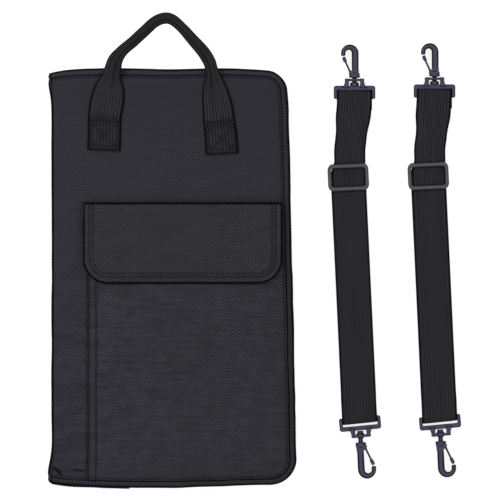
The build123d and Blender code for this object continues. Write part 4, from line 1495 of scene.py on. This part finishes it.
def make_strap(prefix, seed):
    base_low, base_high = box_mm(f"{prefix}_upper_base")
    top = np.array([(base_low[0] + base_high[0]) / 2, base_low[1] + 2.5])
    box = box_mm(f"{prefix}_adjuster")
    adjuster = (box[0] + box[1])[:2] / 2
    axis = next(j["axis"] for j in frame["joints"] if j["name"] == f"{prefix}_length")
    down = np.array(axis[:2]) / np.linalg.norm(axis[:2])
    bottom = adjuster + RUN_LENGTH * down
    top_body, bottom_body, slide_body = (f"{prefix}_{n}_body" for n in ("top", "bottom", "adjuster"))

    # The main run, from the upper base through the adjuster to the lower base.
    knee = adjuster - BEND * down + np.array([3.0, 0])
    bent = adjuster - 0.55 * BEND * down + np.array([2.5, 0])
    first = [(top[0], top[1] + LOOP_REACH["upper"], MAIN_Z)]
    first += [(*(top + t * (knee - top)), MAIN_Z + lift) for t, lift in
              ((0.12, 0.1), (0.35, 0.5), (0.6, 0.5), (0.85, 0.1))]
    first += [(*knee, MAIN_Z), (*bent, MAIN_Z), (*(adjuster + [0.3, 0]), MAIN_Z)]
    low = [(*(adjuster + t * RUN_LENGTH * down), MAIN_Z) for t in (0.1, 0.3, 0.5, 0.7, 0.9)]
    low.append((*(bottom + LOOP_REACH["lower"] * down), MAIN_Z))
    path, side, up, run = strap_path(first + low, 0.5, seed, adjuster, down)
    crease = np.exp(-(((path[:, 1] - top[1] + 41) / 7) ** 2))
    path[:, 2] += 0.9 * crease
    askew = smooth(((path[:, :2] - bottom) @ down + 30) / 28)
    side[:, 1] += END_SKEW * askew * side[:, 0]
    form = Form(None)
    pinch = smooth((top[1] - 16 - path[:, 1]) / 24) * smooth((path[:, 1] - adjuster[1] - 2) / 16)
    points = add_webbing(form, path, side, up, width=WEB_WIDTH - PINCH * pinch)
    webbing = form.make(f"{prefix}_webbing_run", WEBBING, "strap_webbing")
    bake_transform(webbing)
    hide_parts(f"{prefix}_webbing")

    # The sewn ends beside both bases.
    sewing = Form(None)
    for row in np.interp(SEWN_AT, run, np.arange(len(run))):
        seam_across(sewing, points, row)
    thread = sewing.make(f"{prefix}_upper_stitching", THREAD, "strap_webbing")
    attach(thread, top_body)
    loop = Form(None)
    add_webbing(loop, *wrap_frames(wrap_path(top, (0, 1), LOOP_REACH["upper"], 10.5), (1, 0, 0)))
    upper_loop = loop.make(f"{prefix}_upper_loop", WEBBING, "strap_webbing")
    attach(upper_loop, top_body)
    turn = Form(None)
    askew_side = (-down[1], down[0] - END_SKEW * down[1], 0)
    add_webbing(turn, *wrap_frames(wrap_path(bottom, down, LOOP_REACH["lower"], 5.0), askew_side))
    lower_turn = turn.make(f"{prefix}_lower_turn_webbing", WEBBING, "strap_webbing")
    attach(lower_turn, bottom_body)
    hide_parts(f"{prefix}_lower_turn")

    # The return run under the main run, and its loop on the adjuster's middle bar.
    back = [(*(bottom - 3 * down), RETURN_Z), (*(bottom - 60 * down), RETURN_Z)]
    back += [(*(adjuster + t * down), RETURN_Z) for t in (150, 60, 25)]
    back.append((*(adjuster + 5 * down), RETURN_Z))
    path, side, up, run = strap_path(back, 0.5, seed + 7, adjuster, down)
    path[:, 2] = np.maximum(path[:, 2], 0.8)
    form = Form(None)
    add_webbing(form, path, side, up)
    under = form.make(f"{prefix}_return_run", WEBBING, "strap_webbing")
    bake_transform(under)
    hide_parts(f"{prefix}_return_webbing")
    loop = Form(None)
    turn = np.linspace(0.5 * math.pi, -1.3 * math.pi, 26)
    ring = np.array([(*(adjuster + 4.8 * math.cos(a) * down), 3.8 + 1.75 * math.sin(a)) for a in turn])
    add_webbing(loop, *wrap_frames(ring, (-down[1], down[0], 0)), thick=0.8)
    adjuster_loop = loop.make(f"{prefix}_adjuster_loop_webbing", WEBBING, "strap_webbing")
    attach(adjuster_loop, slide_body)
    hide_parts(f"{prefix}_adjuster_loop")

    # The adjuster, and at both ends a base, a hook and its gate.
    place = local_place(adjuster, -down, 0)
    moulded(f"{prefix}_adjuster", slide_body, BAR, form=adjuster_form(), place=place)
    for end, centre, ahead, body in (("upper", top, (0, 1), top_body), ("lower", bottom, down, bottom_body)):
        ahead = np.asarray(ahead, float)
        part = f"{prefix}_{end}"
        angle = math.atan2(ahead[1], ahead[0]) + (LOWER_BASE_TURN if end == "lower" else 0)
        seat = local_place(centre + BASE_SHIFT[end] * ahead, (math.cos(angle), math.sin(angle)))
        place = local_place(centre, ahead)
        moulded(f"{part}_base", body, BUCKLE, form=base_form(), place=seat, rounds=11)
        moulded(f"{part}_hook", f"{part}_hook_body", BUCKLE, form=hook_form(end), place=place,
                voxel=0.32, rounds=5)
        moulded(f"{part}_gate", f"{part}_gate_body", BUCKLE, form=gate_form(end), place=place,
                voxel=0.2, rounds=3)


def wrap_frames(path, side):
    side = np.asarray(side, float)
    return path, side, np.cross(unit(np.gradient(path, axis=0)), side)


def moulded(node, body, material, voxel=0.38, rounds=7, slot="buckle_plastic", form=None, place=None):
    """A moulded part with rounded edges: the CAD's own shape, or solids that grow into one."""
    name = f"{node}_moulded"
    if form is None:
        piece = bpy.data.objects.new(name, frame["nodes"][node].data.copy())
        bpy.context.scene.collection.objects.link(piece)
    else:
        form.lie = place
        piece = form.make(name, material, slot)
    remesh = piece.modifiers.new("remesh", "REMESH")
    remesh.mode = "VOXEL"
    remesh.voxel_size = voxel * MM
    relax = piece.modifiers.new("relax", "SMOOTH")
    relax.factor = 0.5
    relax.iterations = rounds
    graph = bpy.context.evaluated_depsgraph_get()
    mesh = bpy.data.meshes.new_from_object(piece.evaluated_get(graph))
    piece.modifiers.clear()
    piece.data = mesh
    mesh.materials.clear()
    mesh.materials.append(material)
    mesh.polygons.foreach_set("use_smooth", [True] * len(mesh.polygons))
    if form is not None:
        shade_flanks(mesh)
    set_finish(piece, slot)
    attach(piece, body)
    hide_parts(node)
    return piece


def shade_flanks(mesh):
    """Painted shade on moulded parts: darker on their flanks, where the surface turns away from straight up.
    """
    normals = np.zeros(len(mesh.vertices) * 3, np.float32)
    mesh.vertex_normals.foreach_get("vector", normals)
    facing = np.abs(normals.reshape(-1, 3)[:, 2])
    layer = mesh.attributes.get("painted_shade") or mesh.attributes.new("painted_shade", "FLOAT", "POINT")
    ends = np.zeros(len(mesh.edges) * 2, np.int32)
    mesh.edges.foreach_get("vertices", ends)
    first, last = ends[0::2], ends[1::2]
    count = np.bincount(first, minlength=len(facing)) + np.bincount(last, minlength=len(facing))
    for _ in range(5):
        total = np.bincount(first, facing[last], len(facing)) + np.bincount(last, facing[first], len(facing))
        facing = 0.4 * facing + 0.6 * total / np.maximum(count, 1)
    layer.data.foreach_set("value", smooth((0.97 - facing) / 0.1).astype(np.float32))


# ---------------------------------------------------------------- swivel hooks
BAR_AXIS_Z = 4.6
FRAME_HALF, SLOT_HALF = 23.8, 19.9  # half widths of a base and of its slot for the webbing
BLOCK_HALF, WINDOW_HALF = 11.0, 6.4  # half widths of its block and of the swivel's window
GATE_PIVOT, GATE_LENGTH, GATE_LEAN = (-4.5, 30.3), 20.3, math.radians(24.3)
HOOK_TOP, COLLAR_Y = 63.2, 24.8  # distances from the base's bar
HOOK_DEEP = 4.3  # round parts are flattened to this half thickness
HOOK_REACH = {"upper": 64.2, "lower": 65.4}  # where each hook's top really is


def local_place(centre, ahead, axis_z=BAR_AXIS_Z):
    """From a part's own plan (x across, y ahead, z about its axis) to the bag's."""
    ahead = np.asarray(ahead, float)
    across = np.array([ahead[1], -ahead[0]])

    def place(points):
        plan = np.asarray(centre) + points[:, :1] * across + points[:, 1:2] * ahead
        return np.column_stack([plan, points[:, 2] + axis_z])

    return place


def add_prism(form, shape, half):
    """A flat solid of some shape, half its thickness each way."""
    shape = np.asarray(shape, float)
    count = len(shape)
    points = np.concatenate([np.column_stack([shape, np.full(count, z)]) for z in (-half, half)])
    k = np.arange(count)
    after = (k + 1) % count
    form.add(points, np.stack([k, after, after + count, k + count], -1), np.zeros((2 * count, 2)))
    for ring in (k, k + count):
        form.cap(ring[None, :] + form.size - 2 * count, np.zeros((count, 2)))


def add_tube(form, path, half_wide, half_thick, power, z=0.0):
    """A rounded bar along a flat path, of a given half width at each point; power 2 makes it round."""
    path = np.column_stack([np.asarray(path, float), np.full(len(path), z)])
    side, up = plan_frames(path)
    angles = np.linspace(0, 2 * math.pi, 29)[:-1]
    ring = np.stack([np.cos(angles), np.sin(angles)], -1)
    ring = np.sign(ring) * np.abs(ring) ** (2 / power)
    half_wide = np.broadcast_to(half_wide, len(path))[:, None]
    half_thick = np.broadcast_to(half_thick, len(path))[:, None]
    profile = ring[None] * np.stack([half_wide, half_thick], -1)
    add_sweep(form, path, side, up, profile)


def add_turned(form, stations):
    """A round part about the hook's axis, from (distance along it, radius)."""
    y, radius = np.asarray(stations, float).T
    add_tube(form, np.column_stack([np.zeros(len(y)), y]), radius, np.minimum(radius, HOOK_DEEP), power=2.0)


def add_block(form, shape, low, high):
    """A prism between two heights."""
    start = len(form.points)
    add_prism(form, shape, (high - low) / 2)
    for block in form.points[start:]:
        block[:, 2] += (high + low) / 2


def adjuster_form():
    """The tri-glide: a frame whose long bars lie over the webbing, and a middle bar under it."""
    form = Form()
    for sign in (-1, 1):
        add_tube(form, [(x, sign * 13.0) for x in (-20, 0, 20)], 2.7, 1.25, power=2.2, z=9.25)
        corner = [(19.1, 9.8), (16.5, 10.6), (16.5, 15.6), (19.4, 15.4), (22.2, 13.0), (23.4, 9.6)]
        side = corner + [(x, -y) for x, y in corner[::-1]]
        add_block(form, [(sign * x, y) for x, y in side], 8.0, 10.3)
        post = [(21.0, -10.5), (23.3, -9.5), (23.3, 9.5), (21.0, 10.5)]
        add_block(form, [(sign * x, y) for x, y in post], 3.0, 8.4)
    add_block(form, [(-21.5, -3.9), (21.5, -3.9), (21.5, 3.9), (-21.5, 3.9)], 3.1, 4.6)
    return form


def base_form():
    """The base: arms beside the webbing, a bar between them, and a block with the swivel's window."""
    form = Form()
    for sign in (-1, 1):
        arm = [(SLOT_HALF, -2.4), (FRAME_HALF - 1.4, -2.4), (FRAME_HALF, -1.0), (FRAME_HALF, 10.8),
               (FRAME_HALF - 1.8, 12.8), (SLOT_HALF, 12.8)]
        lug = [(WINDOW_HALF, 10.6), (BLOCK_HALF + 3.0, 10.6), (BLOCK_HALF + 1.1, 13.2), (BLOCK_HALF, 17.0),
               (BLOCK_HALF + 0.3, 20.8), (BLOCK_HALF - 3.6, 21.2), (WINDOW_HALF, 21.2)]
        add_prism(form, [(sign * x, y) for x, y in arm], 3.6)
        add_prism(form, [(sign * x, y) for x, y in lug], 4.3)
    rail = [(-FRAME_HALF, 7.7), (FRAME_HALF, 7.7), (FRAME_HALF - 0.3, 11.6), (FRAME_HALF - 1.9, 12.9),
            (1.9 - FRAME_HALF, 12.9), (0.3 - FRAME_HALF, 11.6)]
    add_prism(form, rail, 3.4)
    add_prism(form, [(-7.5, 18.0), (7.5, 18.0), (7.5, 20.8), (-7.5, 20.8)], 4.3)
    bar = np.linspace(-SLOT_HALF - 0.5, SLOT_HALF + 0.5, 9)
    add_tube(form, np.column_stack([bar, 0 * bar]), 1.6, 1.6, power=2.0)
    return form


def stretched(points, end):
    """The lower hook is drawn out further than the upper one; lengths are counted back from the tip."""
    points = np.array(points, float)
    stretch = HOOK_STRETCH[end]
    points[:, 1] = HOOK_REACH[end] - (HOOK_TOP - points[:, 1]) * stretch
    points[:, 0] *= 1 + 0.6 * (stretch - 1)
    return points


def hook_form(end):
    """The hook: swivel post and head, collar, spine, crook and the nub inside its tip."""
    form = Form()
    neck = stretched([(0, COLLAR_Y)], end)[0, 1]
    head = [(14.4, 2.0), (14.8, 4.6), (18.6, 5.4), (19.4, 4.2), (20.0, 2.7), (COLLAR_Y + 1, 2.7)]
    add_turned(form, [(y - COLLAR_Y + neck, radius) for y, radius in head])
    if end == "lower":
        add_turned(form, [(9.9, 2.4), (10.3, 3.5), (12.9, 3.5), (13.3, 3.0)])
    rings = [(0.0, 3.0), (0.2, 5.6), (1.2, 6.4), (2.2, 6.3), (2.6, 5.4), (3.2, 5.4), (3.5, 6.4), (4.8, 6.2),
             (5.6, 5.0), (6.4, 2.0)]
    add_turned(form, [(neck + y, radius) for y, radius in rings])
    root = [(-1.9, 27.8), (5.0, 27.8), (5.0, 34.0), (-1.6, 36.4)]
    add_prism(form, stretched(root, end), 3.4)
    cheek = stretched([(-6.5, 27.8), (-1.6, 27.8), (-1.6, 36.0), (-3.4, 33.0), (-6.3, 32.0)], end)
    for low, high in ((-3.5, -2.3), (2.3, 3.5)):
        add_block(form, cheek, low, high)
    centre_x, centre_y, outer = -5.4, 53.1, 10.1
    line = []  # x, y and half width, up the spine, round the crook and down to the tip
    for y in np.linspace(28.2, centre_y, 18)[:-1]:
        half = 3.9 + 0.1 * smooth((y - 28) / 25)
        line.append((4.7 - half, y, half))
    for a in np.linspace(0, math.pi, 30):
        half = 4.0 - 1.45 * smooth(a / math.pi)
        line.append((centre_x + (outer - half) * math.cos(a), centre_y + (outer - half) * math.sin(a), half))
    for y in np.linspace(centre_y, 49.9, 5)[1:]:
        half = 2.55 - 0.35 * (centre_y - y) / 3.2
        line.append((centre_x - outer + half, y, half))
    line = np.array(line)
    add_tube(form, stretched(line[:, :2], end), line[:, 2], 3.5, power=2.1)
    nub = [(-13.4, 51.6), (-12.2, 52.4), (-11.0, 53.0), (-10.5, 53.2)]
    add_tube(form, stretched(nub, end), [2.0, 2.3, 1.8, 0.9], [3.3, 3.2, 2.6, 1.2], power=2.0)
    return form


def gate_form(end):
    """The sprung gate: a thin arm from its pivot to a thicker end that shuts on the hook's tip."""
    form = Form()
    along = np.array([-math.sin(GATE_LEAN), math.cos(GATE_LEAN)])
    stations = ((-1.6, 1.5), (0, 2.0), (1.9, 1.35), (4, 1.15), (13.2, 1.15), (14.2, 1.8), (15.6, 2.1),
                (18.4, 2.1), (19.6, 2.0), (GATE_LENGTH, 1.0))
    path = np.array([np.array(GATE_PIVOT) + t * along for t, _ in stations])
    add_tube(form, stretched(path, end), [w for _, w in stations], 1.9, power=3.0)
    return form


# ---------------------------------------------------------------- studio
LAMPS = (  # name, place in metres, size in metres, power in watts
    ("key", (-1.25, 1.15, 1.25), 0.8, 30),
    ("side", (1.5, 0.9, 1.5), 1.2, 12),
    ("front", (0.9, -1.4, 1.5), 1.2, 9),
    ("low", (-1.4, -1.1, 1.4), 1.2, 10),
)
SKY = 0.55  # strength of the even light from all round


def make_studio():
    floor = Form(None)
    size = 3000.0
    floor.add([(-size, -size, -0.3), (size, -size, -0.3), (size, size, -0.3), (-size, size, -0.3)],
              [(0, 1, 2, 3)], np.zeros((4, 2)))
    n = Nodes("studio_floor")
    pale = n.finish((0.3, 0.3, 0.3, 1), 0.9, Specular_IOR_Level=0.0, Emission_Strength=0.82)
    n.shader.inputs["Emission Color"].default_value = (1, 1, 1, 1)
    ground = floor.make("studio_floor", pale, "outer_cloth")
    del ground["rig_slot"]
    ground.visible_diffuse = ground.visible_glossy = False  # the floor doesn't light the object from below

    scene = bpy.context.scene
    world = bpy.data.worlds.new("studio")
    world.use_nodes = True
    world.node_tree.nodes["Background"].inputs[0].default_value = (1, 1, 1, 1)
    world.node_tree.nodes["Background"].inputs[1].default_value = SKY
    scene.world = world
    for name, place, size, power in LAMPS:
        light = bpy.data.lights.new(name, "AREA")
        light.size, light.energy = size, power
        lamp = bpy.data.objects.new(name, light)
        scene.collection.objects.link(lamp)
        lamp.location = place
        aim = np.array([0.05, 0.0, 0.0]) - np.array(place)
        flat = math.hypot(aim[0], aim[1])
        lamp.rotation_euler = (math.atan2(flat, -aim[2]), 0, math.atan2(aim[1], aim[0]) - math.pi / 2)
    scene.view_settings.view_transform = "Standard"


VIEW_CENTRE = (0.0889, 0.0319)  # in metres, as the two below
VIEW_WIDTH = 0.57
VIEW_DISTANCE = 8.0


def make_camera():
    data = bpy.data.cameras.new("camera")
    camera = bpy.data.objects.new("camera", data)
    bpy.context.scene.collection.objects.link(camera)
    camera.location = (*VIEW_CENTRE, VIEW_DISTANCE + FRONT_Z * MM)
    data.lens = data.sensor_width * VIEW_DISTANCE / VIEW_WIDTH
    data.clip_end = 20
    bpy.context.scene.camera = camera


make_camera()
make_studio()
make_covers()
make_spine()
make_gussets()
make_end_cover()
make_pocket()
make_flap()
make_pile("pocket_loop_pile", "pocket_loop_strip", "front_half", True)
make_pile("flap_hook_pile", "flap_hook_strip", "flap", False)
make_linings()
make_sleeves()
make_inner_pocket()
make_handle()
make_rings()
for strap, seed in (("first_strap", 211), ("second_strap", 311)):
    make_strap(strap, seed)
for end in ("upper", "lower"):
    moulded(f"{end}_slider", f"{end}_slider_body", METAL, 0.25, 4, "zipper_metal")
    moulded(f"{end}_pull", f"{end}_pull_body", METAL, 0.22, 4, "zipper_metal")
